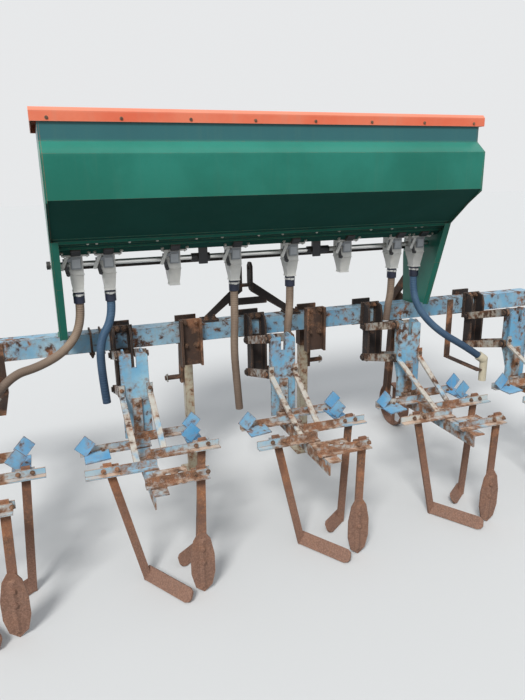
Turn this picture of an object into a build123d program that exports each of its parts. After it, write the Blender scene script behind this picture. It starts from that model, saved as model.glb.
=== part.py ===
"""Mounted row crop cultivator with five parallelogram units and a fertiliser hopper on one toolbar.

Millimetres. X runs across the machine, +Y is the way it travels and +Z is up. The floor that the
tools stand on is z = 0 and x = 0 is the middle of the toolbar.
"""
import os
from math import atan2, copysign, cos, degrees, hypot, pi, radians, sin, tan

from build123d import *

# Driving dimensions of the machine
ROW_PITCH = 750
UNIT_SIDES = (-2, -1, 0, 1, 2)
UNIT_NAMES = ("far_left", "left", "centre", "right", "far_right")
TOOLBAR_LENGTH = 4000
TOOLBAR_SIZE = 100
TOOLBAR_WALL = 8
TOOLBAR_TOP = 950
BEAM_END_BACK = 1125
WHEEL_RADIUS = 150
WHEEL_FORWARD = 240

# The toolbar is set forward so that the origin lies under the middle of the whole machine
TOOLBAR_Y = (BEAM_END_BACK - WHEEL_FORWARD - WHEEL_RADIUS) / 2
BAR_REAR = TOOLBAR_Y - TOOLBAR_SIZE / 2
BAR_FRONT = TOOLBAR_Y + TOOLBAR_SIZE / 2
BAR_BOTTOM = TOOLBAR_TOP - TOOLBAR_SIZE

# Clearances
SIDE_GAP = 5.5
PIN_FIT = 0.05
SLIDE_FIT = 0.1
SEAT_GAP = 0.3

# Parallelogram of one unit, distances back from the toolbar's centre line
LINK_LENGTH = 352
LINK_REST_ANGLE = 15
LINK_SPACING = 190
FRONT_PIVOT_BACK = 108
UPPER_FRONT_Z = 840
LINK_THICK = 12
LINK_DEPTH = 44
LINK_END = 24
LINK_CUT = 12
PIVOT_EDGE = 26
CHEEK_HALF_GAP = 38
CHEEK_THICK = 10
PIVOT_PIN_RADIUS = 10
PIN_HEAD = 8
PIN_HEAD_RADIUS = 15

CHEEK_OUT = CHEEK_HALF_GAP + CHEEK_THICK
LINK_IN = CHEEK_OUT + SIDE_GAP
LINK_OUT = LINK_IN + LINK_THICK
LINK_RISE = LINK_LENGTH * sin(radians(LINK_REST_ANGLE))
LINK_RUN = LINK_LENGTH * cos(radians(LINK_REST_ANGLE))
FRONT_PIVOT_Y = TOOLBAR_Y - FRONT_PIVOT_BACK
REAR_PIVOT_Y = FRONT_PIVOT_Y - LINK_RUN
LOWER_FRONT_Z = UPPER_FRONT_Z - LINK_SPACING
UPPER_REAR_Z = UPPER_FRONT_Z + LINK_RISE
LOWER_REAR_Z = LOWER_FRONT_Z + LINK_RISE

# Clamp that holds a unit to the toolbar
CLAMP_PLATE = 12
CLAMP_WIDTH = 120
CLAMP_OVERLAP = 32
WINDOW_HALF = 31
WINDOW_RIM = 6
CHANNEL_DEPTH = 48

# Upright of a unit and the braces behind it
UPRIGHT_WIDTH = 132
UPRIGHT_PLATE = 10
UPRIGHT_TOP = 950
UPRIGHT_BOTTOM = 530
UPRIGHT_BACK = 42
NOTCH_WIDTH = 22
NOTCH_DEPTH = 70
BRACE_WIDTH = 28
BRACE_X = 66
BRACE_THICK = 8
BRACE_TOP = 800
BRACE_PAD = 55

# Tool frame of a unit
BEAM_Z = 550
BEAM_LEG = 60
ANGLE_WALL = 6
CROSS_LEG = 34
LUG_WIDTH = 44
LUG_THICK = 12
LUG_HEIGHT = 180
HOLE_RADIUS = 13

# Knives and shovel of a unit
SHANK_WIDTH = 36
SHANK_THICK = 14
SHANK_ABOVE = 46
SHANK_CLAMP_HALF = 38
KNIFE_CHORD = 64
KNIFE_TILT = 58
KNIFE_THICK = 9
SHOVEL_LENGTH = 290
SHOVEL_WIDTH = 104

# Hopper section, distances back from the toolbar's centre line and heights above its top
HOPPER_HALF = 1060
HOPPER_WALL = 4
HOPPER_MID_BACK = 180
HOPPER_HALF_DEPTH = 430
COLLAR_HALF_DEPTH = 365
TROUGH_HALF_DEPTH = 80
TROUGH_RISE = 440
SLOPE_RISE = 700
RIM_RISE = 1004
COLLAR_RISE = RIM_RISE - 74
BEVEL_RISE = COLLAR_RISE - 50
END_PLATE = 8
# Edges of an end plate below the panels: distance from the hopper's middle and rise
LEG_REAR_EDGE = ((336, 625), (197, 512), (121, 285), (32, 20))
LEG_FRONT_EDGE = ((252, 285), (240, 512), (336, 625))

# Lid
LID_HALF = HOPPER_HALF + 26
LID_LIP = 54
LID_GAP = 6
LID_SHEET = 4
LID_CROWN = 12
LID_ROLL = 14
HINGE_SPOTS = (260 - HOPPER_HALF, 0, HOPPER_HALF - 260)
HINGE_OUT = 14
LID_HINGE_RADIUS = 7
HINGE_PIN_RADIUS = 4
HINGE_EAR = 6
KNUCKLE_HALF = 30
BRACKET_SHEET = 12

# Feed shaft and outlets
SHAFT_RADIUS = 12.5
SHAFT_WINDOW = 1.5
SHAFT_RISE = 385
SHAFT_BACK = 170
OUTER_OUTLET = HOPPER_HALF - 110
SECOND_OUTLET = OUTER_OUTLET - 150
OUTLET_SPOTS = (-OUTER_OUTLET, -SECOND_OUTLET, -480, -160, 160, 480, SECOND_OUTLET, OUTER_OUTLET)
SLEEVED = (-OUTER_OUTLET, -SECOND_OUTLET, -160, 160, SECOND_OUTLET, OUTER_OUTLET)
HANGER_SPOTS = (-320, 320)
OUTLET_BACK = 205
OUTLET_WIDTH = 84
FUNNEL_RISE = 255
FUNNEL_MOUTH = 46
SLEEVE_RISE = 200
HOSE_DIAMETER = 42
BOOT_CUP = 46
STRAP_WIDTH = 40
STRAP_THICK = 8
STRAP_DROP = 90

# Parking stands in the sockets of the hitch brackets
STAND_TUBE = 50
BRACKET_X = 375
BRACKET_WIDTH = 120
SOCKET_WALL = 6
SOCKET_BELOW = 10
POST_BELOW = 20
SCREW_RADIUS = 10
SCREW_LENGTH = 40
SOCKET_DROP = 230
FOOT_SIZE = 120
FOOT_THICK = 8

# Three-point headstock
HITCH_SPREAD = 825
HITCH_PIN_RADIUS = 14
HITCH_PIN_LENGTH = 90
TOP_BORE_RADIUS = 12.75
MAST_HEIGHT = 610
TOP_PIN_Z = 1215
HITCH_FORWARD = 100
EAR_DROP = 130
MAST_FOOT_X = 280
MAST_FOOT_BACK = 30
MAST_LEG_WIDTH = 60
EAR_GAP = 52
EAR_THICK = 14
EAR_HALF = 34
TIE_SHARE = 0.55
TIE_HALF = 115
TIE_DEPTH = 40

# Land wheel that drives the feed shaft
WHEEL_X = HOPPER_HALF + 85
WHEEL_WIDTH = 56
HUB_RADIUS = 32
HUB_OUT = 6
RIM_THICK = 9
SPOKES = 6
AXLE_RADIUS = 12
JACK_FORWARD = 185
JACK_Z = 950
ARM_THICK = 12
BEARING_LENGTH = 40
CASE_HALF = 26
CASE_SHEET = 3
CASE_CLEAR = 1


def box(x0, x1, y0, y1, z0, z1):
    """Block between two corners."""
    return Pos((x0 + x1) / 2, (y0 + y1) / 2, (z0 + z1) / 2) * Box(x1 - x0, y1 - y0, z1 - z0)


def plate_x(points, x0, x1):
    """Outline of (y, z) points made a plate from x0 to x1."""
    outline = Plane.YZ.offset(x0) * make_face(Polyline(*points, close=True))
    return extrude(outline, x1 - x0, dir=(1, 0, 0))


def plate_y(points, y0, y1):
    """Outline of (x, z) points made a plate from y0 to y1."""
    outline = Plane.XZ.offset(-y0) * make_face(Polyline(*points, close=True))
    return extrude(outline, y1 - y0, dir=(0, 1, 0))


def plate_z(points, z0, z1):
    """Outline of (x, y) points made a plate from z0 to z1."""
    outline = Pos(0, 0, z0) * make_face(Polyline(*points, close=True))
    return extrude(outline, z1 - z0, dir=(0, 0, 1))


def rod_x(radius, x0, x1, y, z):
    """Round bar along X."""
    return Pos((x0 + x1) / 2, y, z) * Rot(0, 90, 0) * Cylinder(radius, x1 - x0)


def rod_y(radius, x, y0, y1, z):
    """Round bar along Y."""
    return Pos(x, (y0 + y1) / 2, z) * Rot(90, 0, 0) * Cylinder(radius, y1 - y0)


def hex_x(radius, x0, x1, y, z):
    """Hexagon head or nut with its axis along X."""
    outline = Plane.YZ.offset(x0) * Pos(y, z) * RegularPolygon(radius, 6)
    return extrude(outline, x1 - x0, dir=(1, 0, 0))


def link_bar(x0, x1, front_z):
    """One bar of the parallelogram: a flat with cut corners, bored for the pivot bolt at both ends."""
    half = LINK_LENGTH / 2 + LINK_END
    deep = LINK_DEPTH / 2
    short, low = half - LINK_CUT, deep - LINK_CUT
    outline = ((-half, -low), (-short, -deep), (short, -deep), (half, -low),
               (half, low), (short, deep), (-short, deep), (-half, low))
    middle = Pos(0, (FRONT_PIVOT_Y + REAR_PIVOT_Y) / 2, front_z + LINK_RISE / 2) * Rot(-LINK_REST_ANGLE, 0, 0)
    bar = middle * plate_x(outline, x0, x1)
    for y, z in ((FRONT_PIVOT_Y, front_z), (REAR_PIVOT_Y, front_z + LINK_RISE)):
        bar -= rod_x(PIVOT_PIN_RADIUS + PIN_FIT, x0 - 1, x1 + 1, y, z)
    return bar


def pivot_bolts(x, y, z):
    """Pivot bolt standing out of each cheek, with its hexagon head outside the link."""
    bolts = []
    shoulder = LINK_OUT + SIDE_GAP
    for side in (-1, 1):
        low, high = sorted((side * CHEEK_OUT, side * shoulder))
        bolt = rod_x(PIVOT_PIN_RADIUS, x + low, x + high, y, z)
        low, high = sorted((side * shoulder, side * (shoulder + PIN_HEAD)))
        bolts.append(bolt + hex_x(PIN_HEAD_RADIUS, x + low, x + high, y, z))
    return bolts


def front_plate(x, width):
    """Plate in front of the toolbar that a clamp's bolts pull against it."""
    return box(x - width / 2, x + width / 2, BAR_FRONT, BAR_FRONT + CLAMP_PLATE,
               BAR_BOTTOM - CLAMP_OVERLAP, TOOLBAR_TOP + CLAMP_OVERLAP)


def front_clamp(x):
    """Unit's bracket behind the toolbar: a plate with a window and two cheeks that carry the front pivots."""
    face = BAR_REAR - CLAMP_PLATE
    half = CLAMP_WIDTH / 2
    low, high = BAR_BOTTOM - CLAMP_OVERLAP, TOOLBAR_TOP + CLAMP_OVERLAP
    clamp = box(x - half, x + half, face, BAR_REAR, low, high)
    clamp -= box(x - WINDOW_HALF, x + WINDOW_HALF, face - 1, BAR_REAR + 1,
                 BAR_BOTTOM + WINDOW_RIM, TOOLBAR_TOP - WINDOW_RIM)
    back_edge = FRONT_PIVOT_Y - PIVOT_EDGE
    bottom = LOWER_FRONT_Z - PIVOT_EDGE
    cheek = ((face, high), (back_edge + 18, high - 12), (back_edge, TOOLBAR_TOP - 30),
             (back_edge, bottom + 12), (back_edge + 12, bottom), (face - 4, bottom), (face - 4, low - 10),
             (face, low))
    for side in (-1, 1):
        inner, outer = sorted((side * CHEEK_HALF_GAP, side * CHEEK_OUT))
        clamp += plate_x(cheek, x + inner, x + outer)
    clamp += box(x - CHEEK_HALF_GAP, x + CHEEK_HALF_GAP, face - 14, face - 4, bottom, low)
    for z in (UPPER_FRONT_Z, LOWER_FRONT_Z):
        clamp += pivot_bolts(x, FRONT_PIVOT_Y, z)
    return clamp


def upright(x):
    """Channel behind the linkage: a notched rear plate, two cheeks for the rear pivots and two braces."""
    rear = REAR_PIVOT_Y - UPRIGHT_BACK
    half = UPRIGHT_WIDTH / 2
    nick = NOTCH_WIDTH / 2
    outline = ((-half, UPRIGHT_BOTTOM), (-nick, UPRIGHT_BOTTOM), (-nick, UPRIGHT_BOTTOM + NOTCH_DEPTH),
               (nick, UPRIGHT_BOTTOM + NOTCH_DEPTH), (nick, UPRIGHT_BOTTOM), (half, UPRIGHT_BOTTOM),
               (half, UPRIGHT_TOP - 12), (half - 12, UPRIGHT_TOP), (nick, UPRIGHT_TOP),
               (nick, UPRIGHT_TOP - NOTCH_DEPTH), (-nick, UPRIGHT_TOP - NOTCH_DEPTH), (-nick, UPRIGHT_TOP),
               (-half + 12, UPRIGHT_TOP), (-half, UPRIGHT_TOP - 12))
    body = Pos(x, 0, 0) * plate_y(outline, rear - UPRIGHT_PLATE, rear)
    front = REAR_PIVOT_Y + PIVOT_EDGE
    cheek = ((rear, UPRIGHT_BOTTOM + 20), (front - 20, LOWER_REAR_Z - 60), (front, LOWER_REAR_Z - 20),
             (front, UPPER_REAR_Z + 14), (front - 14, UPPER_REAR_Z + PIVOT_EDGE),
             (rear, UPPER_REAR_Z + PIVOT_EDGE))
    for side in (-1, 1):
        low, high = sorted((side * CHEEK_HALF_GAP, side * CHEEK_OUT))
        body += plate_x(cheek, x + low, x + high)
    for z in (UPPER_REAR_Z, LOWER_REAR_Z):
        body += pivot_bolts(x, REAR_PIVOT_Y, z)
    for side, bar in ((-1, "left rear"), (1, "middle right")):
        left = x + side * BRACE_X - BRACE_WIDTH / 2
        body += brace(left, rear - UPRIGHT_PLATE, back(CROSSBARS[bar][2]))
    return body


def back(distance):
    """Y of a place given as its distance behind the toolbar's centre line."""
    return TOOLBAR_Y - distance


def angle_bar_y(x, y0, y1, z, leg, wall):
    """Angle iron along Y with its flat on top and its other leg hanging at the left edge."""
    return box(x, x + leg, y0, y1, z - wall, z) + box(x, x + wall, y0, y1, z - leg, z)


def angle_bar_x(x0, x1, y, z, leg, wall):
    """Angle iron along X lying on z, its other leg standing up along the front edge y."""
    return box(x0, x1, y - leg, y, z, z + wall) + box(x0, x1, y - wall, y, z, z + leg)


# Crossbars of a tool frame: left end, right end and distance back to the front edge, by name
CROSSBARS = {
    "left rear": (-280, 18, 875),
    "right rear": (-60, 200, 1035),
    "middle right": (-15, 320, 775),
    "front left": (-285, 30, 640),
    "front right": (-20, 235, 570),
}
# Tools of a unit: kind, crossbar, place across at the clamp and at the foot, and how far a knife's tip
# lies across from its foot and behind it
TOOLS = (
    ("knife", "left rear", -178, -56, 150, 240),
    ("knife", "middle right", 240, 205, -120, 90),
    ("shovel", "right rear", 170, 158, 0, 0),
)
# Wing plates: left, right, front and rear edge as distances back, and the place of each diamond
WINGS = (
    (-270, -160, 650, 770, ((-262, 690),)),
    (185, 262, 580, 720, ((238, 590), (206, 714))),
)
# Drilled plate: left, right, front and rear edge as distances back, and where its holes are
DRILLED_PLATE = (-15, 128, 930, 1020)
DRILLED_HOLES = (45, 98)
BEAM_LEFT = -40
WING_SHEET = 5
DIAMOND_HALF = 46
DIAMOND_HEIGHT = 100


def brace(left, face, crossbar_front):
    """Flat bar with a pad on the upright's rear face, down and back to the front of a crossbar."""
    pad_top = BEAM_Z + CROSS_LEG
    seat = crossbar_front + SEAT_GAP
    outer_face = face - BRACE_THICK
    bend = BRACE_TOP - BRACE_PAD
    slope = ((face, BRACE_TOP), (outer_face, BRACE_TOP), (outer_face, bend + 6), (seat, pad_top),
             (seat, BEAM_Z + 4), (seat + BRACE_THICK, BEAM_Z + 4), (seat + BRACE_THICK, pad_top - 4),
             (face, bend))
    return plate_x(slope, left, left + BRACE_WIDTH)


def tool_frame(x):
    """Lengthways angle iron with a lug on the upright, and on it the crossbars and a drilled plate."""
    rear = REAR_PIVOT_Y - UPRIGHT_BACK - UPRIGHT_PLATE - SEAT_GAP
    seat = BEAM_Z + SEAT_GAP
    beam = angle_bar_y(x + BEAM_LEFT, back(BEAM_END_BACK), rear, BEAM_Z, BEAM_LEG, ANGLE_WALL)
    half = LUG_WIDTH / 2
    beam += box(x - half, x + half, rear - LUG_THICK, rear, BEAM_Z - ANGLE_WALL, BEAM_Z + LUG_HEIGHT)
    solids = [beam]
    for left, right, distance in CROSSBARS.values():
        solids.append(angle_bar_x(x + left, x + right, back(distance), seat, CROSS_LEG, ANGLE_WALL))
    low, high, near, far = DRILLED_PLATE
    drilled = box(x + low, x + high, back(far), back(near), seat, seat + ANGLE_WALL)
    for hole_x in DRILLED_HOLES:
        drilled -= Pos(x + hole_x, back((near + far) / 2), seat) * Cylinder(HOLE_RADIUS, 4 * ANGLE_WALL)
    solids.append(drilled)
    for _, bar, across, _, _, _ in TOOLS:
        solids.append(shank_clamp(x + across, back(CROSSBARS[bar][2]) + SHANK_THICK))
    return solids


def shank_clamp(x, y):
    """Clamp plate that two bolts pull against the front of a shank."""
    return box(x - SHANK_CLAMP_HALF, x + SHANK_CLAMP_HALF, y, y + ANGLE_WALL,
               BEAM_Z + SEAT_GAP, BEAM_Z + CROSS_LEG)


def wing_plates(x):
    """Thin blue side plates lying on the front crossbars, each with diamonds standing up from it."""
    base = BEAM_Z + 2 * SEAT_GAP + ANGLE_WALL
    solids = []
    for left, right, near, far, diamonds in WINGS:
        outline = ((x + left, back(far)), (x + right, back(far) + 20), (x + right, back(near)),
                   (x + left, back(near) - 10))
        plate = plate_z(outline, base, base + WING_SHEET)
        for across, distance in diamonds:
            points = ((-DIAMOND_HALF, 0.45), (0, 0), (DIAMOND_HALF, 0.55), (4, 1))
            corners = [(x + across + dx, base + share * DIAMOND_HEIGHT) for dx, share in points]
            plate += plate_y(corners, back(distance), back(distance) + WING_SHEET)
        solids.append(plate)
    return solids


def shank(top_x, foot_x, y, bottom):
    """Flat shank, its wide side to the rear, leaning from its clamp to its foot."""
    half = SHANK_WIDTH / 2
    lean = (foot_x - top_x) / (BEAM_Z - bottom)
    head_x = top_x - lean * SHANK_ABOVE
    outline = ((foot_x - half, bottom), (foot_x + half, bottom),
               (head_x + half, BEAM_Z + SHANK_ABOVE), (head_x - half, BEAM_Z + SHANK_ABOVE))
    return plate_y(outline, y, y + SHANK_THICK)


def knife(top_x, foot_x, y, across, lean):
    """Shank with an L-shaped knife: a blade on edge that runs inwards and to the rear from its foot."""
    run = hypot(across, lean)
    side = copysign(1, across)
    tilt = radians(KNIFE_TILT)
    along = Vector(across, -lean, 0).normalized()
    upward = Vector(-side * along.Y * cos(tilt), side * along.X * cos(tilt), sin(tilt))
    heel = (foot_x - side * SHANK_WIDTH / 2, y + SHANK_THICK / 2, KNIFE_THICK / 2 * cos(tilt))
    face = Plane(origin=heel, x_dir=along, z_dir=along.cross(upward))
    outline = ((0, 0), (run - 26, 0), (run - 8, 8), (run, 24), (run - 6, KNIFE_CHORD - 10),
               (run - 22, KNIFE_CHORD), (0, KNIFE_CHORD))
    blade = extrude(face * make_face(Polyline(*outline, close=True)), KNIFE_THICK / 2, both=True)
    return shank(top_x, foot_x, y, 0) + blade


def shovel(top_x, foot_x, y):
    """Shank with a lance-shaped shovel bolted to its rear."""
    half = SHOVEL_WIDTH / 2
    high = SHOVEL_LENGTH
    edge = [(foot_x + share * half, rise * high) for share, rise in
            ((0, 0), (0.7, 0.1), (1, 0.32), (1, 0.62), (0.72, 0.88), (0.3, 1), (-0.3, 1), (-0.72, 0.88),
             (-1, 0.62), (-1, 0.32), (-0.7, 0.1))]
    return shank(top_x, foot_x, y, high * 0.4) + plate_y(edge, y - KNIFE_THICK, y)


def tools(x):
    """Two knives and one shovel of a unit."""
    solids = []
    for kind, bar, top, foot, across, lean in TOOLS:
        y = back(CROSSBARS[bar][2])
        if kind == "knife":
            solids.append(knife(x + top, x + foot, y, across, lean))
        else:
            solids.append(shovel(x + top, x + foot, y))
    return solids


def hopper_outline(inset):
    """Half section of the hopper as (distance from its middle, rise) points, moved inwards by inset."""
    return ((TROUGH_HALF_DEPTH - inset, TROUGH_RISE), (HOPPER_HALF_DEPTH - inset, SLOPE_RISE),
            (HOPPER_HALF_DEPTH - inset, BEVEL_RISE), (COLLAR_HALF_DEPTH - inset, COLLAR_RISE),
            (COLLAR_HALF_DEPTH - inset, RIM_RISE))


def hopper_panel(side):
    """Folded sheet of one long side of the hopper, from the trough up to the rim."""
    middle = back(HOPPER_MID_BACK)
    outer = [(middle + side * d, TOOLBAR_TOP + r) for d, r in hopper_outline(0)]
    inner = [(middle + side * d, TOOLBAR_TOP + r) for d, r in hopper_outline(HOPPER_WALL)]
    inner[0] = (inner[0][0], inner[0][1] + HOPPER_WALL)
    inner[1] = (inner[1][0], inner[1][1] + HOPPER_WALL / 2)
    return plate_x(outer + inner[::-1], -HOPPER_HALF + END_PLATE, HOPPER_HALF - END_PLATE)


def hopper_floor():
    """Flat trough floor between the two folded panels."""
    middle = back(HOPPER_MID_BACK)
    half = TROUGH_HALF_DEPTH - HOPPER_WALL
    return box(-HOPPER_HALF + END_PLATE, HOPPER_HALF - END_PLATE, middle - half, middle + half,
               TOOLBAR_TOP + TROUGH_RISE, TOOLBAR_TOP + TROUGH_RISE + HOPPER_WALL)


def end_plate(side):
    """Flat end plate of the hopper, drawn down into the leg that stands on the toolbar."""
    middle = back(HOPPER_MID_BACK)
    upper = [(COLLAR_HALF_DEPTH, RIM_RISE), (COLLAR_HALF_DEPTH, COLLAR_RISE), (HOPPER_HALF_DEPTH, BEVEL_RISE),
             (HOPPER_HALF_DEPTH, SLOPE_RISE - 10)]
    rear = [(middle - d, TOOLBAR_TOP + r) for d, r in upper + list(LEG_REAR_EDGE)]
    foot = [(BAR_REAR - 6, TOOLBAR_TOP + 20), (BAR_REAR - 6, TOOLBAR_TOP), (BAR_FRONT, TOOLBAR_TOP)]
    front = [(middle + d, TOOLBAR_TOP + r) for d, r in list(LEG_FRONT_EDGE) + upper[::-1]]
    low, high = sorted((side * HOPPER_HALF, side * (HOPPER_HALF - END_PLATE)))
    plate = plate_x(rear + foot + front, low, high)
    shaft_y, shaft_z = back(SHAFT_BACK), TOOLBAR_TOP + SHAFT_RISE
    return plate - rod_x(SHAFT_RADIUS + PIN_FIT, low - 1, high + 1, shaft_y, shaft_z)


LID_Z = TOOLBAR_TOP + RIM_RISE
LID_REAR = back(HOPPER_MID_BACK) - COLLAR_HALF_DEPTH - LID_GAP - LID_SHEET
LID_FRONT = back(HOPPER_MID_BACK) + COLLAR_HALF_DEPTH + LID_GAP + LID_SHEET
HINGE_Y = LID_FRONT + HINGE_OUT
HINGE_Z = LID_Z + 4


def lid():
    """Lid pressed from sheet: a lightly crowned top, a lip all round and the hinge knuckles in front."""
    top = LID_Z + LID_LIP
    middle = (LID_REAR + LID_FRONT) / 2
    outline = ((LID_REAR, LID_Z), (LID_REAR, top - LID_ROLL), (LID_REAR + LID_ROLL, top),
               (middle, top + LID_CROWN), (LID_FRONT - LID_ROLL, top), (LID_FRONT, top - LID_ROLL),
               (LID_FRONT, LID_Z))
    shell = plate_x(outline, -LID_HALF, LID_HALF)
    roll = LID_ROLL + 2
    hollow = ((LID_REAR + LID_SHEET, LID_Z - 1), (LID_REAR + LID_SHEET, top - roll),
              (LID_REAR + roll, top - LID_SHEET),
              (middle, top + LID_CROWN - LID_SHEET), (LID_FRONT - roll, top - LID_SHEET),
              (LID_FRONT - LID_SHEET, top - roll), (LID_FRONT - LID_SHEET, LID_Z - 1))
    shell -= plate_x(hollow, -LID_HALF + LID_SHEET, LID_HALF - LID_SHEET)
    for x in HINGE_SPOTS:
        knuckle = rod_x(LID_HINGE_RADIUS, x - KNUCKLE_HALF, x + KNUCKLE_HALF, HINGE_Y, HINGE_Z)
        knuckle += box(x - KNUCKLE_HALF, x + KNUCKLE_HALF, LID_FRONT, HINGE_Y,
                       HINGE_Z - 3, HINGE_Z + LID_HINGE_RADIUS)
        reach = KNUCKLE_HALF + 1
        knuckle -= rod_x(HINGE_PIN_RADIUS + PIN_FIT, x - reach, x + reach, HINGE_Y, HINGE_Z)
        shell += knuckle
    return shell


def lid_hinges():
    """Hinge brackets on the front of the hopper, each with a pin through one of the lid's knuckles."""
    solids = []
    wall = back(HOPPER_MID_BACK) + COLLAR_HALF_DEPTH
    inner = KNUCKLE_HALF + SIDE_GAP
    outer = inner + BRACKET_SHEET
    for x in HINGE_SPOTS:
        solid = rod_x(HINGE_PIN_RADIUS, x - outer, x + outer, HINGE_Y, HINGE_Z)
        for side in (-1, 1):
            low, high = sorted((x + side * inner, x + side * outer))
            solid += box(low, high, wall, HINGE_Y + HINGE_EAR, LID_Z - 60, LID_Z - 12)
            solid += box(low, high, HINGE_Y - HINGE_EAR, HINGE_Y + HINGE_EAR, LID_Z - 12, HINGE_Z + HINGE_EAR)
        solids.append(solid)
    return solids


def metering_body(x):
    """Translucent metering housing with a window for the feed shaft, drawn in to a square mouth below."""
    y = back(OUTLET_BACK)
    half = OUTLET_WIDTH / 2
    top = TOOLBAR_TOP + TROUGH_RISE
    waist = TOOLBAR_TOP + SHAFT_RISE - 42
    bottom = TOOLBAR_TOP + FUNNEL_RISE
    flange = box(x - half - 6, x + half + 6, y - 58, y + 62, top - 8, top)
    house = box(x - half + 10, x + half - 10, y - 42, y + 55, waist, top - 8)
    sections = (Pos(x, y + 6, waist) * Rectangle(OUTLET_WIDTH - 20, 96),
                Pos(x, y, (waist + bottom) / 2 - 8) * Rectangle(56, 58),
                Pos(x, y, bottom) * Rectangle(FUNNEL_MOUTH, FUNNEL_MOUTH))
    body = flange + house
    for upper, lower in zip(sections, sections[1:]):
        body += loft([upper, lower], ruled=True)
    reach = SHAFT_RADIUS + SHAFT_WINDOW
    shaft_y, shaft_z = back(SHAFT_BACK), TOOLBAR_TOP + SHAFT_RISE
    return body - box(x - half, x + half, shaft_y - reach, shaft_y + reach, shaft_z - reach, shaft_z + reach)


def outlet_gate(x):
    """Black slide over the rear of a metering housing, with its side arm."""
    y = back(OUTLET_BACK) - 42
    z = TOOLBAR_TOP + TROUGH_RISE
    gate = box(x - 24, x + 24, y - 10, y, z - 70, z - 8)
    gate += box(x - 60, x - 24, y - 10, y - 4, z - 34, z - 18)
    return gate


def outlet_sleeve(x):
    """Dark rubber sleeve that joins a funnel mouth to its hose."""
    y = back(OUTLET_BACK)
    z = TOOLBAR_TOP + FUNNEL_RISE
    middle = Pos(x, y, (z + TOOLBAR_TOP + SLEEVE_RISE) / 2)
    return middle * Cylinder(HOSE_DIAMETER / 2 + 6, FUNNEL_RISE - SLEEVE_RISE)


# Hoses: name, points as (x, distance back, rise above the toolbar's top)
HOSES = (
    ("hose_far_left", ((-OUTER_OUTLET, 205, 200), (-OUTER_OUTLET, 205, 90), (-1035, 235, -25),
                       (-1165, 275, -80), (-1300, 320, -95), (-1368, 345, -175))),
    ("hose_left", ((-SECOND_OUTLET, 205, 200), (-SECOND_OUTLET, 205, 110), (-872, 212, 0),
                   (-878, 214, -160), (-866, 216, -330))),
    ("hose_centre_left", ((-160, 205, 200), (-160, 205, 60), (-172, 210, -130), (-160, 213, -330),
                          (-152, 216, -470))),
    ("hose_centre_right", ((160, 205, 200), (160, 205, 90), (140, 210, -60), (138, 213, -210))),
    ("hose_right", ((SECOND_OUTLET, 205, 200), (SECOND_OUTLET, 205, 112), (786, 201, 30), (783, 196, -54))),
    ("hose_far_right", ((OUTER_OUTLET, 205, 200), (OUTER_OUTLET, 205, 90), (1010, 235, -40),
                        (1120, 280, -150), (1260, 325, -235), (1350, 350, -300))),
)


def hose(points):
    """Plain round hose along straight runs with an arc at each turn, and its centre line's length."""
    route = [(x, back(distance), TOOLBAR_TOP + rise) for x, distance, rise in points]
    radii = []
    for before, here, after in zip(route, route[1:], route[2:]):
        into = Vector(*here) - Vector(*before)
        out = Vector(*after) - Vector(*here)
        turn = radians(into.get_angle(out))
        radii.append(0.45 * min(into.length, out.length) / tan(turn / 2))
    path = FilletPolyline(*route, radius=radii)
    start = Plane(origin=path @ 0, z_dir=path % 0)
    return sweep(start * Circle(HOSE_DIAMETER / 2), path=path), path.length, radii


def hose_end(points):
    """Last point of a hose and the direction in which the hose arrives there."""
    before, last = [Vector(x, back(distance), TOOLBAR_TOP + rise) for x, distance, rise in points[-2:]]
    return last, (last - before).normalized()


def drop_boot(points):
    """Cream boot under the last point of a hose, in line with the hose's end."""
    end, run = hose_end(points)
    cup = extrude(Plane(origin=end, z_dir=run) * Circle(HOSE_DIAMETER / 2 + 7), BOOT_CUP)
    tip = end + run * BOOT_CUP
    spout = Pos(tip.X, tip.Y, tip.Z - 60) * Cylinder(HOSE_DIAMETER / 2 + 2, 150)
    return cup + spout


def boot_strap(points):
    """Flat strap from the toolbar's rear face back to a drop boot."""
    end, run = hose_end(points)
    side = 1 if end.X > 0 else -1
    spout_x = end.X + run.X * BOOT_CUP
    edge = spout_x - side * (HOSE_DIAMETER / 2 + 2 + SEAT_GAP)
    low, high = sorted((edge, edge - side * STRAP_WIDTH))
    z = end.Z - STRAP_DROP
    strap = box(low, high, BAR_REAR - STRAP_THICK, BAR_REAR, z, TOOLBAR_TOP - 6)
    return strap + box(low, high, end.Y + run.Y * BOOT_CUP - 20, BAR_REAR - STRAP_THICK, z, z + STRAP_THICK)


STAND_Y = BAR_FRONT + CLAMP_PLATE + SOCKET_WALL + SLIDE_FIT + STAND_TUBE / 2
SOCKET_OUT = STAND_TUBE / 2 + SLIDE_FIT + SOCKET_WALL
HITCH_PLATE_IN = HITCH_SPREAD / 2 - EAR_THICK
STAND_X = HITCH_PLATE_IN - SOCKET_OUT
PIN_Z = TOP_PIN_Z - MAST_HEIGHT
PIN_Y = TOOLBAR_Y + HITCH_FORWARD
MAST_FOOT_Y = TOOLBAR_Y + MAST_FOOT_BACK


def stand_socket(x):
    """Square socket of a parking stand with the screw that clamps the post."""
    inner = STAND_TUBE / 2 + SLIDE_FIT
    low = TOOLBAR_TOP - SOCKET_DROP
    high = TOOLBAR_TOP - SOCKET_BELOW
    socket = box(x - SOCKET_OUT, x + SOCKET_OUT, STAND_Y - SOCKET_OUT, STAND_Y + SOCKET_OUT, low, high)
    socket -= box(x - inner, x + inner, STAND_Y - inner, STAND_Y + inner, low - 1, high + 1)
    face = STAND_Y + SOCKET_OUT
    head = Plane.XZ.offset(-face) * Pos(x, (low + high) / 2) * RegularPolygon(SCREW_RADIUS, 6)
    return socket + extrude(head, SCREW_LENGTH, dir=(0, 1, 0))


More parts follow.
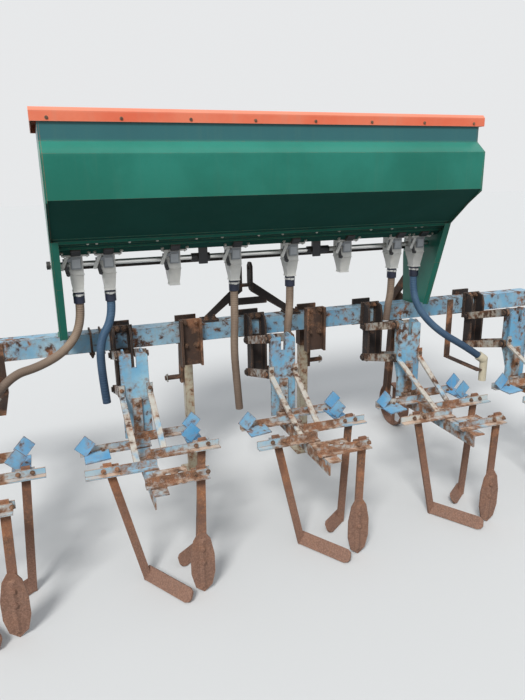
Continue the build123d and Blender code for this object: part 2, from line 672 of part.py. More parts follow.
def stand(x):
    """Parking stand: a square post on a flat foot."""
    half = STAND_TUBE / 2
    foot = FOOT_SIZE / 2
    post = box(x - half, x + half, STAND_Y - half, STAND_Y + half, FOOT_THICK, TOOLBAR_TOP - POST_BELOW)
    return post + box(x - foot, x + foot, STAND_Y - foot, STAND_Y + foot, 0, FOOT_THICK)


def headstock():
    """Mast: two bored ears for the top link, legs that slope down to the toolbar, a tie and a gusset."""
    ear_in = EAR_GAP / 2
    ear_out = ear_in + EAR_THICK
    y, z = PIN_Y, TOP_PIN_Z
    ear = ((y - EAR_HALF, z - EAR_DROP), (y - EAR_HALF, z + 12), (y - 14, z + EAR_HALF),
           (y + 14, z + EAR_HALF), (y + EAR_HALF, z + 12), (y + EAR_HALF, z - EAR_DROP + 30),
           (y, z - EAR_DROP))
    foot_z = TOOLBAR_TOP + CLAMP_PLATE
    tilt = atan2(y - MAST_FOOT_Y, z - EAR_DROP + 40 - foot_z)
    slope = Plane(origin=(0, MAST_FOOT_Y, foot_z - 4), x_dir=(1, 0, 0), z_dir=(0, -cos(tilt), sin(tilt)))
    head = (z - EAR_DROP + 4 - foot_z) / cos(tilt)
    mast = box(-ear_in, ear_in, y - EAR_HALF, y + 10, z - EAR_DROP + 26, z - EAR_DROP + 40)
    for side in (-1, 1):
        low, high = sorted((side * ear_in, side * ear_out))
        mast += plate_x(ear, low, high) - rod_x(TOP_BORE_RADIUS, low - 1, high + 1, y, z)
        foot = side * MAST_FOOT_X
        inner = foot - side * MAST_LEG_WIDTH
        leg = ((side * (ear_in + 2), head + 60), (side * (ear_in + 2), head - 6), (inner, 0), (foot, 0))
        mast += extrude(slope * make_face(Polyline(*leg, close=True)), EAR_THICK)
        low, high = sorted((foot + side * 14, inner - side * 14))
        mast += box(low, high, BAR_REAR, BAR_FRONT, TOOLBAR_TOP, foot_z)
    tie = slope * Pos(0, TIE_SHARE * head) * Rectangle(2 * TIE_HALF, TIE_DEPTH)
    return mast + extrude(tie, EAR_THICK)


def hitch_bracket(side):
    """Channel behind the toolbar, and in front of it a hitch plate with its pin and a stand's socket."""
    face = BAR_FRONT + CLAMP_PLATE
    outline = ((face, TOOLBAR_TOP), (face + 30, TOOLBAR_TOP - 8), (PIN_Y + 34, PIN_Z + 30),
               (PIN_Y + 34, PIN_Z - 24), (PIN_Y + 16, PIN_Z - 40), (PIN_Y - 24, PIN_Z - 34),
               (face, BAR_BOTTOM - 20))
    x, half = side * BRACKET_X, BRACKET_WIDTH / 2
    low, high = TOOLBAR_TOP - SOCKET_DROP, TOOLBAR_TOP + CLAMP_OVERLAP
    channel = box(x - half, x + half, BAR_REAR - CLAMP_PLATE, BAR_REAR, low, high)
    for edge in (x - half, x + half - CLAMP_PLATE):
        channel += box(edge, edge + CLAMP_PLATE, BAR_REAR - CHANNEL_DEPTH, BAR_REAR - CLAMP_PLATE, low, high)
    inner, outer = sorted((side * HITCH_PLATE_IN, side * HITCH_SPREAD / 2))
    front = front_plate(x, BRACKET_WIDTH) + stand_socket(side * STAND_X) + plate_x(outline, inner, outer)
    inner, outer = sorted((side * HITCH_PLATE_IN, side * (HITCH_SPREAD / 2 + HITCH_PIN_LENGTH)))
    return [channel, front + rod_x(HITCH_PIN_RADIUS, inner, outer, PIN_Y, PIN_Z)]


ARM_X = WHEEL_X - WHEEL_WIDTH / 2 - 6 - SIDE_GAP - BEARING_LENGTH / 2
CASE_IN = HOPPER_HALF + SEAT_GAP
CASE_OUT = ARM_X - ARM_THICK / 2 - SEAT_GAP
WHEEL_Y = TOOLBAR_Y + WHEEL_FORWARD
JACK_Y = TOOLBAR_Y + JACK_FORWARD


def land_wheel():
    """Narrow iron land wheel on its axle: a rim, flat spokes and a hub."""
    x, y, z = WHEEL_X, WHEEL_Y, WHEEL_RADIUS
    half = WHEEL_WIDTH / 2
    inside = WHEEL_RADIUS - RIM_THICK
    wheel = rod_x(WHEEL_RADIUS, x - half, x + half, y, z)
    wheel -= rod_x(inside, x - half - 1, x + half + 1, y, z)
    wheel += rod_x(HUB_RADIUS, x - half - HUB_OUT, x + half + HUB_OUT, y, z)
    for turn in range(SPOKES):
        spoke = box(-5, 5, -14, 14, HUB_RADIUS - 4, inside + 4)
        wheel += Pos(x, y, z) * Rot(360 / SPOKES * turn, 0, 0) * spoke
    return wheel + rod_x(AXLE_RADIUS, CASE_IN + CASE_SHEET + 4, x + half + 16, y, z)


def wheel_arm():
    """Arm of the land wheel with the bearing of its axle below."""
    y, z = WHEEL_Y, WHEEL_RADIUS
    outline = ((BAR_FRONT, BAR_BOTTOM), (BAR_FRONT, TOOLBAR_TOP), (JACK_Y - 30, JACK_Z + 36),
               (JACK_Y + 30, JACK_Z + 36), (JACK_Y + 44, JACK_Z), (y + 26, z + 40), (y + 26, z - 26),
               (y - 26, z - 26), (y - 30, z + 40), (JACK_Y - 28, BAR_BOTTOM - 90))
    arm = plate_x(outline, ARM_X - ARM_THICK / 2, ARM_X + ARM_THICK / 2)
    arm += rod_x(26, ARM_X - ARM_THICK / 2, ARM_X + BEARING_LENGTH / 2, y, z)
    return arm - rod_x(AXLE_RADIUS + PIN_FIT, ARM_X - 40, ARM_X + 40, y, z)


def chain_run(y0, z0, y1, z1, radius, low, high):
    """Round-ended slab round one run of the chain."""
    run = hypot(y1 - y0, z1 - z0)
    tilt = degrees(atan2(z1 - z0, y1 - y0))
    slab = box(low, high, -run / 2, run / 2, -radius, radius)
    slab = Pos(0, (y0 + y1) / 2, (z0 + z1) / 2) * Rot(tilt, 0, 0) * slab
    return slab + rod_x(radius, low, high, y0, z0) + rod_x(radius, low, high, y1, z1)


def chain_case():
    """Cover of the two chains: land wheel up to the jackshaft, and on to the feed shaft."""
    shaft_y, shaft_z = back(SHAFT_BACK), TOOLBAR_TOP + SHAFT_RISE
    case = chain_run(shaft_y, shaft_z, JACK_Y, JACK_Z, CASE_HALF, CASE_IN, CASE_OUT)
    case += chain_run(JACK_Y, JACK_Z, WHEEL_Y, WHEEL_RADIUS, CASE_HALF, CASE_IN, CASE_OUT)
    case -= rod_x(SHAFT_RADIUS + CASE_CLEAR, CASE_IN - 1, CASE_OUT - CASE_SHEET, shaft_y, shaft_z)
    return case - rod_x(AXLE_RADIUS + CASE_CLEAR, CASE_IN + CASE_SHEET, CASE_OUT + 1, WHEEL_Y, WHEEL_RADIUS)


def feed_shaft():
    """Bright feed shaft through the outlets and end plates into the chain case."""
    right_end = CASE_OUT - CASE_SHEET - 3
    return rod_x(SHAFT_RADIUS, -HOPPER_HALF - 24, right_end, back(SHAFT_BACK), TOOLBAR_TOP + SHAFT_RISE)


def gate_bar():
    """Dark flat bar under the feed shaft that sets all gates together."""
    z = TOOLBAR_TOP + SHAFT_RISE - 24
    y = back(SHAFT_BACK) + 62
    return box(-HOPPER_HALF + END_PLATE, HOPPER_HALF - END_PLATE, y, y + 10, z - 12, z + 12)


def shaft_bracket(x):
    """Black hanger under the trough that steadies the feed shaft."""
    y, z = back(SHAFT_BACK), TOOLBAR_TOP + SHAFT_RISE
    top = TOOLBAR_TOP + TROUGH_RISE
    hanger = box(x - 5, x + 5, y - 26, y + 26, z - 26, top)
    return hanger - rod_x(SHAFT_RADIUS + PIN_FIT, x - 6, x + 6, y, z)


def toolbar():
    """Square tube that carries the whole machine, open at both ends."""
    half = TOOLBAR_LENGTH / 2
    tube = box(-half, half, BAR_REAR, BAR_FRONT, BAR_BOTTOM, TOOLBAR_TOP)
    w = TOOLBAR_WALL
    return tube - box(-half - 1, half + 1, BAR_REAR + w, BAR_FRONT - w, BAR_BOTTOM + w, TOOLBAR_TOP - w)


def save(name, solids):
    """Write one piece, made of one or more solids that don't touch, to its own file."""
    solids = solids if isinstance(solids, list) else [solids]
    flat = []
    for solid in solids:
        flat.extend(solid.solids())
    shape = flat[0] if len(flat) == 1 else Compound(children=flat)
    export_step(shape, os.path.join("parts", name + ".step"))


os.makedirs("parts", exist_ok=True)
save("toolbar", toolbar())
save("headstock", headstock())
save("hitch_brackets", hitch_bracket(-1) + hitch_bracket(1))
for side, word in ((-1, "left"), (1, "right")):
    save("stand_" + word, stand(side * STAND_X))
    save("hopper_end_" + word, end_plate(side))
save("hopper_rear_panel", hopper_panel(-1))
save("hopper_front_panel", hopper_panel(1))
save("hopper_floor", hopper_floor())
save("lid", lid())
save("lid_hinges", lid_hinges())
save("metering_housings", [metering_body(x) for x in OUTLET_SPOTS])
save("outlet_gates", [outlet_gate(x) for x in OUTLET_SPOTS])
save("outlet_sleeves", [outlet_sleeve(x) for x in SLEEVED])
save("feed_shaft", feed_shaft())
save("gate_bar", gate_bar())
save("shaft_brackets", [shaft_bracket(x) for x in HANGER_SPOTS])
save("land_wheel", land_wheel())
save("wheel_arm", wheel_arm())
save("chain_case", chain_case())
for name, points in HOSES:
    tube, length, radii = hose(points)
    print(name, "length", round(length), "radii", [round(r) for r in radii],
          "volume ratio", round(tube.volume / (pi * (HOSE_DIAMETER / 2) ** 2 * length), 4))
    save(name, tube)
outer_hoses = (HOSES[0][1], HOSES[-1][1])
save("drop_boots", [drop_boot(points) for points in outer_hoses])
save("boot_straps", [boot_strap(points) for points in outer_hoses])
unit_places = [step * ROW_PITCH for step in UNIT_SIDES]
clamps = [front_clamp(x) for x in unit_places]
save("unit_clamps", clamps + [front_plate(x, CLAMP_WIDTH) for x in unit_places])
for step, name in zip(UNIT_SIDES, UNIT_NAMES):
    x = step * ROW_PITCH
    for level, z in (("upper", UPPER_FRONT_Z), ("lower", LOWER_FRONT_Z)):
        bars = [link_bar(x + low, x + high, z) for low, high in ((-LINK_OUT, -LINK_IN), (LINK_IN, LINK_OUT))]
        save(name + "_" + level + "_links", bars)
    save(name + "_upright", upright(x))
    save(name + "_tool_frame", tool_frame(x))
    save(name + "_wing_plates", wing_plates(x))
    save(name + "_tools", tools(x))
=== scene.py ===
import math

import bmesh
import bpy
from mathutils import Matrix, Vector


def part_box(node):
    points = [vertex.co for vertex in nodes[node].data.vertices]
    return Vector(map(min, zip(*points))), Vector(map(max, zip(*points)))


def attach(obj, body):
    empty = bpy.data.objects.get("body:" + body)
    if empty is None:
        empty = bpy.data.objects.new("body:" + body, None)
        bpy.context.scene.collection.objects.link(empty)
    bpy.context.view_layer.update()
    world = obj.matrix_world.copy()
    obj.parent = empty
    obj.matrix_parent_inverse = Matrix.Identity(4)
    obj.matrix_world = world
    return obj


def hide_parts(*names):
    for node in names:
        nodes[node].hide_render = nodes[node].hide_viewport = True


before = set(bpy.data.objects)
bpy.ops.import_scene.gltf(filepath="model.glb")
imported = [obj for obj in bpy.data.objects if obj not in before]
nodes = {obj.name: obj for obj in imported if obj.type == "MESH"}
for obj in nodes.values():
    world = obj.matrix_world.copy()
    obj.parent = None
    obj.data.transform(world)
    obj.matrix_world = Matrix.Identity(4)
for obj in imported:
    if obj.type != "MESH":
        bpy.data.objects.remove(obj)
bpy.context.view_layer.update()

scene = bpy.context.scene
scene.view_settings.view_transform = "Standard"

# Camera
# It stands behind the machine, left of its middle and a little above the hopper's foot, and looks
# forwards and to the right, as the photograph was taken. The place is measured from the toolbar.
def new_object(name, data):
    made = bpy.data.objects.new(name, data)
    scene.collection.objects.link(made)
    return made


bar_low, bar_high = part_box("toolbar")
bar_y = (bar_low.y + bar_high.y) / 2
bar_top = bar_high.z
EYE_ACROSS, EYE_BEHIND, EYE_RISE = -1.088, 3.216, 0.790
YAW, PITCH, ROLL = 19.78, 16.35, -0.92
FOCAL_PIXELS, FRAME_PIXELS, SENSOR_WIDTH = 600, 700, 36
eye = Vector((EYE_ACROSS, bar_y - EYE_BEHIND, bar_top + EYE_RISE))
yaw, pitch, roll = (math.radians(angle) for angle in (YAW, PITCH, ROLL))
look = Vector((math.sin(yaw) * math.cos(pitch), math.cos(yaw) * math.cos(pitch), -math.sin(pitch)))
level = Vector((math.cos(yaw), -math.sin(yaw), 0))
upward = level.cross(look)
across = level * math.cos(roll) + upward * math.sin(roll)
upward = upward * math.cos(roll) - level * math.sin(roll)
camera_data = bpy.data.cameras.new("camera")
camera_data.sensor_width = SENSOR_WIDTH
camera_data.lens = FOCAL_PIXELS / FRAME_PIXELS * SENSOR_WIDTH
camera_data.clip_end = 60
camera = new_object("camera", camera_data)
camera.matrix_world = Matrix((
    (across.x, upward.x, -look.x, eye.x),
    (across.y, upward.y, -look.y, eye.y),
    (across.z, upward.z, -look.z, eye.z),
    (0, 0, 0, 1)))
scene.camera = camera

# Floor and light
# A plain pale floor runs into a pale surround without a line between them. One broad soft sun
# stands high behind the camera on the left, and the surround lights the rest like an overcast sky.
PALE = (0.80, 0.81, 0.82, 1)
SKY_LIGHT = 0.80
SUN_STRENGTH, SUN_SOFTNESS = 2.5, 16
SUN_COLOR = (1.0, 0.97, 0.92)
SUN_WAY = Vector((0.42, 0.62, -0.72))
FLOOR_HALF = 40
FLOOR_BOUNCE = (0.18, 0.17, 0.15, 1)
FLOOR_SEEN = (0.66, 0.68, 0.70, 1)


def put(tree, socket, value):
    """Link a socket to another one, or set its number or colour."""
    if isinstance(value, bpy.types.NodeSocket):
        tree.links.new(value, socket)
    else:
        socket.default_value = value


def fill(tree, made, values):
    for key, value in values.items():
        put(tree, made.inputs[key], value)


def node(tree, kind, values=None, **settings):
    """New node with its settings and its inputs."""
    made = tree.nodes.new(kind)
    for key, value in settings.items():
        setattr(made, key, value)
    fill(tree, made, values or {})
    return made


def maths(tree, operation, a, b=0.0, clamp=False):
    made = node(tree, "ShaderNodeMath", {0: a, 1: b}, operation=operation, use_clamp=clamp)
    return made.outputs[0]


def mixed(tree, factor, a, b, blend="MIX"):
    """Colour between a and b."""
    made = node(tree, "ShaderNodeMix", {"Factor": factor, 6: a, 7: b}, data_type="RGBA",
                blend_type=blend)
    return made.outputs[2]


def between(tree, factor, a, b):
    """Number between a and b."""
    made = node(tree, "ShaderNodeMix", {"Factor": factor, "A": a, "B": b}, data_type="FLOAT")
    return made.outputs["Result"]


def shown_rays(tree):
    """One for rays that show the background: from the camera, in a reflection, through glass."""
    path = tree.nodes.new("ShaderNodeLightPath").outputs
    total = path["Is Camera Ray"]
    for label in ("Is Glossy Ray", "Is Transmission Ray"):
        total = maths(tree, "MAXIMUM", total, path[label])
    return total


world = bpy.data.worlds.new("pale_surround")
scene.world = world
world.use_nodes = True
world_tree = world.node_tree
world_tree.nodes.clear()
world_strength = between(world_tree, shown_rays(world_tree), SKY_LIGHT, 1.0)
surround = node(world_tree, "ShaderNodeBackground", {"Color": PALE, "Strength": world_strength})
node(world_tree, "ShaderNodeOutputWorld", {"Surface": surround.outputs["Background"]})

sun_data = bpy.data.lights.new("soft_sun", "SUN")
sun_data.energy = SUN_STRENGTH
sun_data.angle = math.radians(SUN_SOFTNESS)
sun_data.color = SUN_COLOR
sun = new_object("soft_sun", sun_data)
sun.rotation_euler = SUN_WAY.to_track_quat("-Z", "Y").to_euler()

floor_mesh = bpy.data.meshes.new("floor")
corners = [(x * FLOOR_HALF, y * FLOOR_HALF, 0) for x, y in ((-1, -1), (1, -1), (1, 1), (-1, 1))]
floor_mesh.from_pydata(corners, [], [(0, 1, 2, 3)])
floor = new_object("floor", floor_mesh)
floor_paint = bpy.data.materials.new("pale_floor")
floor_paint.use_nodes = True
floor_tree = floor_paint.node_tree
floor_shader = floor_tree.nodes["Principled BSDF"]
fill(floor_tree, floor_shader, {
    "Roughness": 0.95, "Specular IOR Level": 0.1,
    "Base Color": mixed(floor_tree, shown_rays(floor_tree), FLOOR_BOUNCE, FLOOR_SEEN)})
floor_mesh.materials.append(floor_paint)


# Toolbar and uprights
# A square tube and five channels brushed with light blue paint that has chipped and rusted, most
# at the edges. The groups for worn edges, rust with painted glints, grime with a mask for painted
# shade on downward faces, and soil are shared by every metal piece.
def group(name, inputs, outputs, kind="ShaderNodeTree"):
    """Node group, each input named with its value or its type: its tree, inputs and outputs."""
    tree = bpy.data.node_groups.new(name, kind)
    for label, value in inputs.items():
        if isinstance(value, str):
            tree.interface.new_socket(label, in_out="INPUT", socket_type="NodeSocket" + value)
            continue
        number = "NodeSocketInt" if isinstance(value, int) else "NodeSocketFloat"
        socket = tree.interface.new_socket(label, in_out="INPUT", socket_type=number)
        socket.default_value = value
    for label in outputs:
        of_label = label if label in ("Color", "Geometry") else "Float"
        tree.interface.new_socket(label, in_out="OUTPUT", socket_type="NodeSocket" + of_label)
    entry = tree.nodes.new("NodeGroupInput").outputs
    return tree, entry, tree.nodes.new("NodeGroupOutput").inputs


def times(tree, a, b, clamp=False):
    return maths(tree, "MULTIPLY", a, b, clamp)


def plus(tree, a, b):
    return maths(tree, "ADD", a, b)


def minus(tree, a, b):
    return maths(tree, "SUBTRACT", a, b)


def noise(tree, vector, scale, detail=4.0, roughness=0.55):
    made = node(tree, "ShaderNodeTexNoise",
                {"Vector": vector, "Scale": scale, "Detail": detail, "Roughness": roughness})
    return made.outputs["Fac"]


def spread(tree, value, low, high):
    """Smooth step from 0 at low to 1 at high."""
    made = node(tree, "ShaderNodeMapRange", {"Value": value, "From Min": low, "From Max": high},
                interpolation_type="SMOOTHSTEP")
    return made.outputs["Result"]


def coordinate(tree, vector, axis):
    return node(tree, "ShaderNodeSeparateXYZ", {"Vector": vector}).outputs[axis]


def surface_normal(tree):
    return tree.nodes.new("ShaderNodeNewGeometry").outputs["Normal"]


wear, wear_in, wear_out = group(
    "worn_edges", {"Vector": "Vector", "Reach": 0.004, "Amount": 0.5}, ("Mask", "Rim"))
rounded = node(wear, "ShaderNodeBevel", {"Radius": wear_in["Reach"]}, samples=6)
facing = node(wear, "ShaderNodeVectorMath",
              {0: rounded.outputs["Normal"], 1: surface_normal(wear)}, operation="DOT_PRODUCT")
edge = spread(wear, minus(wear, 1.0, facing.outputs["Value"]), 0.01, 0.22)
flake = noise(wear, wear_in["Vector"], 30.0, 6.0, 0.62)
broad = noise(wear, wear_in["Vector"], 6.5, 3.0, 0.5)
patchy = plus(wear, times(wear, flake, 0.62), times(wear, broad, 0.38))
threshold = minus(wear, 1.04, wear_in["Amount"])
bare = minus(wear, plus(wear, times(wear, edge, 0.45), patchy), threshold)
put(wear, wear_out["Mask"], times(wear, bare, 14.0, clamp=True))
put(wear, wear_out["Rim"], times(wear, plus(wear, bare, 0.075), 11.0, clamp=True))

OLD_RUST, RED_RUST = (0.085, 0.040, 0.026, 1), (0.31, 0.125, 0.060, 1)
ORANGE_RUST, RUST_GLINT = (0.45, 0.20, 0.090, 1), (0.56, 0.39, 0.27, 1)
rust, rust_in, rust_out = group(
    "rust", {"Vector": "Vector", "Bright": 0.5}, ("Color", "Height", "Roughness"))
blotch = noise(rust, rust_in["Vector"], 9.0, 6.0, 0.62)
speck = noise(rust, rust_in["Vector"], 85.0, 5.0, 0.7)
fine = noise(rust, rust_in["Vector"], 380.0, 3.0, 0.6)
dark = mixed(rust, spread(rust, blotch, 0.36, 0.66), OLD_RUST, RED_RUST)
warm = mixed(rust, spread(rust, speck, 0.45, 0.75), dark, ORANGE_RUST)
# Pale specks painted on the rust as glints, as strong as Bright.
glint_specks = times(rust, rust_in["Bright"], spread(rust, fine, 0.42, 0.7))
put(rust, rust_out["Color"], mixed(rust, glint_specks, warm, RUST_GLINT))
put(rust, rust_out["Height"], plus(rust, times(rust, speck, 0.6), times(rust, fine, 0.4)))
put(rust, rust_out["Roughness"], spread(rust, speck, 0.2, 0.8))

grime_and_shade_below, grime_in, grime_and_shade_out = group(
    "grime_and_shade_below", {"Vector": "Vector", "Reach": 0.05}, ("Mask", "Streaks", "Below"))
corner = node(grime_and_shade_below, "ShaderNodeAmbientOcclusion", {"Distance": grime_in["Reach"]}, samples=6)
nook = spread(grime_and_shade_below, minus(grime_and_shade_below, 1.0, corner.outputs["AO"]), 0.15, 0.9)
blot = noise(grime_and_shade_below, grime_in["Vector"], 14.0, 5.0, 0.6)
put(grime_and_shade_below, grime_and_shade_out["Mask"], times(grime_and_shade_below, nook, plus(grime_and_shade_below, blot, 0.35), clamp=True))
stretched = node(grime_and_shade_below, "ShaderNodeMapping",
                 {"Vector": grime_in["Vector"], "Scale": (16.0, 16.0, 1.1)})
streak = noise(grime_and_shade_below, stretched.outputs["Vector"], 2.2, 5.0, 0.6)
put(grime_and_shade_below, grime_and_shade_out["Streaks"], spread(grime_and_shade_below, streak, 0.48, 0.78))
# Downward faces: the mask for painted shade under things.
downward = times(grime_and_shade_below, coordinate(grime_and_shade_below, surface_normal(grime_and_shade_below), "Z"), -1.0)
put(grime_and_shade_below, grime_and_shade_out["Below"], spread(grime_and_shade_below, downward, 0.15, 0.75))

DAMP_SOIL, DRY_SOIL = (0.185, 0.105, 0.078, 1), (0.335, 0.200, 0.150, 1)
soil, soil_in, soil_out = group(
    "dried_soil", {"Vector": "Vector", "Height": 0.30}, ("Mask", "Color", "Crumbs"))
soil_rise = maths(soil, "DIVIDE", coordinate(soil, soil_in["Vector"], "Z"), soil_in["Height"])
soil_patch = noise(soil, soil_in["Vector"], 12.0, 5.0, 0.6)
soil_reach = minus(soil, plus(soil, 0.75, soil_patch), soil_rise)
crumb = noise(soil, soil_in["Vector"], 150.0, 4.0, 0.65)
put(soil, soil_out["Mask"], times(soil, soil_reach, 1.5, clamp=True))
put(soil, soil_out["Color"], mixed(soil, spread(soil, crumb, 0.35, 0.7), DAMP_SOIL, DRY_SOIL))
put(soil, soil_out["Crumbs"], crumb)


def new_material(name):
    """New material with its tree, its shader and the Object coordinates."""
    material = bpy.data.materials.new(name)
    material.use_nodes = True
    tree = material.node_tree
    place = tree.nodes.new("ShaderNodeTexCoord").outputs["Object"]
    return material, tree, tree.nodes["Principled BSDF"], place


def effect(tree, shared, place, **values):
    """What a shared group puts out for these values."""
    return node(tree, "ShaderNodeGroup", {"Vector": place, **values}, node_tree=shared).outputs


def relief(tree, shader, height, strength, distance):
    """Bump on the shader's Normal."""
    bump = node(tree, "ShaderNodeBump",
                {"Height": height, "Strength": strength, "Distance": distance})
    put(tree, shader.inputs["Normal"], bump.outputs["Normal"])
    return bump


BRUSH_MARK = (0.86, 0.86, 0.86, 1)
# Colour of the painted shade on downward faces.
UNDERSIDE_SHADE = (0.003, 0.020, 0.026, 1)
BLACK_SCALE = (0.030, 0.020, 0.018, 1)
RUST_STAIN = (0.33, 0.19, 0.11, 1)


def painted_metal(name, fresh, faded, dust, amount, rough=0.42, bright=0.3, streaks=0.25,
                  primer=None, below=0.0, stained=0.35, kept=None, tint=None, charred=0.0,
                  dents=0.0, sheen=0.40):
    """Paint over steel: two shades, dust in the nooks, chips with a stained rim, and painted shade
    on the downward faces as strong as below.
    """
    material, tree, shader, place = new_material(name)
    shader.inputs["Specular IOR Level"].default_value = sheen
    chipping = kept(tree, place, amount) if kept else amount
    chips = effect(tree, wear, place, Amount=chipping)
    rusty = effect(tree, rust, place, Bright=bright)
    dirt_and_shade = effect(tree, grime_and_shade_below, place)
    shade = spread(tree, noise(tree, place, 3.2, 5.0), 0.35, 0.7)
    brushed = times(tree, spread(tree, noise(tree, place, 70.0, 3.0), 0.3, 0.8), 0.22)
    paint = mixed(tree, brushed, mixed(tree, shade, fresh, faded), BRUSH_MARK, "MULTIPLY")
    if tint:
        paint = tint(tree, place, paint)
    paint = mixed(tree, times(tree, dirt_and_shade["Streaks"], streaks), paint, dust)
    paint = mixed(tree, times(tree, dirt_and_shade["Mask"], 0.75), paint, dust)
    # Painted shade: downward faces turn dark and bluish.
    if below:
        paint = mixed(tree, times(tree, dirt_and_shade["Below"], below), paint, UNDERSIDE_SHADE)
    if primer:
        chipped = mixed(tree, times(tree, rusty["Roughness"], 0.25), primer, rusty["Color"])
    else:
        scale = times(tree, spread(tree, noise(tree, place, 17.0, 4.0), 0.35, 0.6), charred)
        chipped = mixed(tree, scale, rusty["Color"], BLACK_SCALE)
        paint = mixed(tree, times(tree, chips["Rim"], stained), paint, RUST_STAIN)
    put(tree, shader.inputs["Base Color"], mixed(tree, chips["Mask"], paint, chipped))
    gloss = plus(tree, rough, times(tree, dirt_and_shade["Mask"], 0.3))
    if below:
        gloss = between(tree, dirt_and_shade["Below"], gloss, 0.9)
    put(tree, shader.inputs["Roughness"], between(tree, chips["Mask"], gloss, 0.85))
    film = plus(tree, 0.9, times(tree, noise(tree, place, 240.0, 2.0), 0.1))
    bump = relief(tree, shader, between(tree, chips["Mask"], film, rusty["Height"]), 0.4, 0.0014)
    if dents:
        waves = noise(tree, place, 2.6, 1.0)
        wavy = node(tree, "ShaderNodeBump", {"Height": waves, "Strength": 1.0, "Distance": dents})
        put(tree, bump.inputs["Normal"], wavy.outputs["Normal"])
    return material


def finish(material, *names):
    """Give CAD nodes this material in place of their plain one."""
    for name in names:
        slots = nodes[name].data.materials
        slots.clear()
        slots.append(material)


UNITS = ("far_left", "left", "centre", "right", "far_right")
ROW_PITCH, SHIFT_ROWS = 0.75, 20.5
unit_places = [(name, (step - 2) * ROW_PITCH) for step, name in enumerate(UNITS)]
BRACE_FACE = bar_y - 0.501
UPRIGHT_HALF = 0.066
GREASE = (0.030, 0.026, 0.024, 1)
UNDERCOAT = (0.53, 0.52, 0.48, 1)


def off_middle(tree, place):
    """Distance to either side of the nearest unit's middle, from a place shifted above nought."""
    shifted = plus(tree, coordinate(tree, place, "X"), SHIFT_ROWS * ROW_PITCH)
    aside = minus(tree, maths(tree, "MODULO", shifted, ROW_PITCH), ROW_PITCH / 2)
    return maths(tree, "ABSOLUTE", aside)


def cream_braces(tree, place, paint):
    """Cream undercoat on the braces where the blue has gone, and greasy heads on the pins."""
    ahead = coordinate(tree, place, "Y")
    beside = spread(tree, off_middle(tree, place), UPRIGHT_HALF + 0.0005, UPRIGHT_HALF + 0.001)
    pin_head = times(tree, beside, spread(tree, ahead, BRACE_FACE, BRACE_FACE + 0.002))
    brace = spread(tree, ahead, BRACE_FACE, BRACE_FACE - 0.004)
    worn = times(tree, brace, spread(tree, noise(tree, place, 9.0, 4.0), 0.30, 0.50))
    return mixed(tree, worn, mixed(tree, pin_head, paint, GREASE), UNDERCOAT)


finish(painted_metal(
    "toolbar_blue_paint", (0.155, 0.40, 0.62, 1), (0.42, 0.63, 0.75, 1), (0.40, 0.34, 0.26, 1),
    0.52, stained=0.3, charred=0.85), "toolbar")
finish(painted_metal(
    "upright_blue_paint", (0.130, 0.385, 0.62, 1), (0.34, 0.58, 0.72, 1), (0.43, 0.37, 0.29, 1),
    0.508, bright=0.4, stained=0.4, charred=0.8, tint=cream_braces),
    *[unit + "_upright" for unit in UNITS])

# Wing plates
# Thin plates with upright diamonds, brushed in a stronger blue and scratched at their rims. Small
# bolts hold them on the crossbars.
finish(painted_metal(
    "strong_blue_paint", (0.085, 0.335, 0.63, 1), (0.27, 0.52, 0.72, 1), (0.42, 0.38, 0.30, 1),
    0.465, charred=0.5), *[unit + "_wing_plates" for unit in UNITS])

# Bare iron
# Knives, shovels and the land wheel never kept their paint: rough rust under dried soil, with a
# few paler scuffs. The clamps, brackets and mast are darker, with old black paint left in places.
SCUFF = (0.46, 0.27, 0.16, 1)


def bare_iron(name, shadow, depth, bright, soiled=0.0, cover=0.40):
    """Rusty iron with a darker layer, under dried soil up to the height soiled."""
    material, tree, shader, place = new_material(name)
    rusty = effect(tree, rust, place, Bright=bright)
    chips = effect(tree, wear, place, Amount=0.38)
    layer = spread(tree, noise(tree, place, 11.0, 6.0, 0.6), cover, cover + 0.2)
    color = mixed(tree, times(tree, layer, depth), rusty["Color"], shadow)
    color = mixed(tree, times(tree, chips["Mask"], 0.45), color, SCUFF)
    height = rusty["Height"]
    if soiled:
        earth = effect(tree, soil, place, Height=soiled)
        crust = times(tree, earth["Mask"], 0.8)
        color = mixed(tree, crust, color, earth["Color"])
        height = between(tree, crust, height, earth["Crumbs"])
    rough = plus(tree, 0.60, times(tree, rusty["Roughness"], 0.32))
    fill(tree, shader, {"Base Color": color, "Roughness": rough})
    relief(tree, shader, height, 0.55, 0.0018)
    return material


tool_iron = bare_iron("soiled_iron", (0.15, 0.070, 0.048, 1), 0.6, 0.35, soiled=0.36)
finish(tool_iron, "land_wheel", *[unit + "_tools" for unit in UNITS])
brown_iron = bare_iron("brown_rust", (0.036, 0.023, 0.019, 1), 0.88, 0.55, cover=0.34)
finish(brown_iron, "hitch_brackets", "wheel_arm", "chain_case", "boot_straps")
dark_iron = bare_iron("dark_iron", (0.020, 0.018, 0.019, 1), 0.96, 0.30, cover=0.235)
finish(dark_iron, "headstock", "unit_clamps")
greasy_iron = bare_iron("greasy_iron", (0.016, 0.015, 0.016, 1), 0.97, 0.15, cover=0.20)
finish(greasy_iron, "gate_bar")

# Tool frames and linkage bars
# Angle irons and flats that were once light blue. The paint lasts on the outer ends of the
# crossbars, and elsewhere rust and a pale dust show through. Grease blackens the links' ends.
PINK_DUST = (0.60, 0.46, 0.37, 1)
FRONT_PIVOT_BACK, LINK_LENGTH, LINK_ANGLE = 0.108, 0.352, math.radians(15)


def outer_ends(tree, place, amount):
    """Chip amount that falls towards the outer ends of each unit's crossbars."""
    reach = spread(tree, off_middle(tree, place), 0.13, 0.26)
    return minus(tree, amount, times(tree, reach, 0.16))


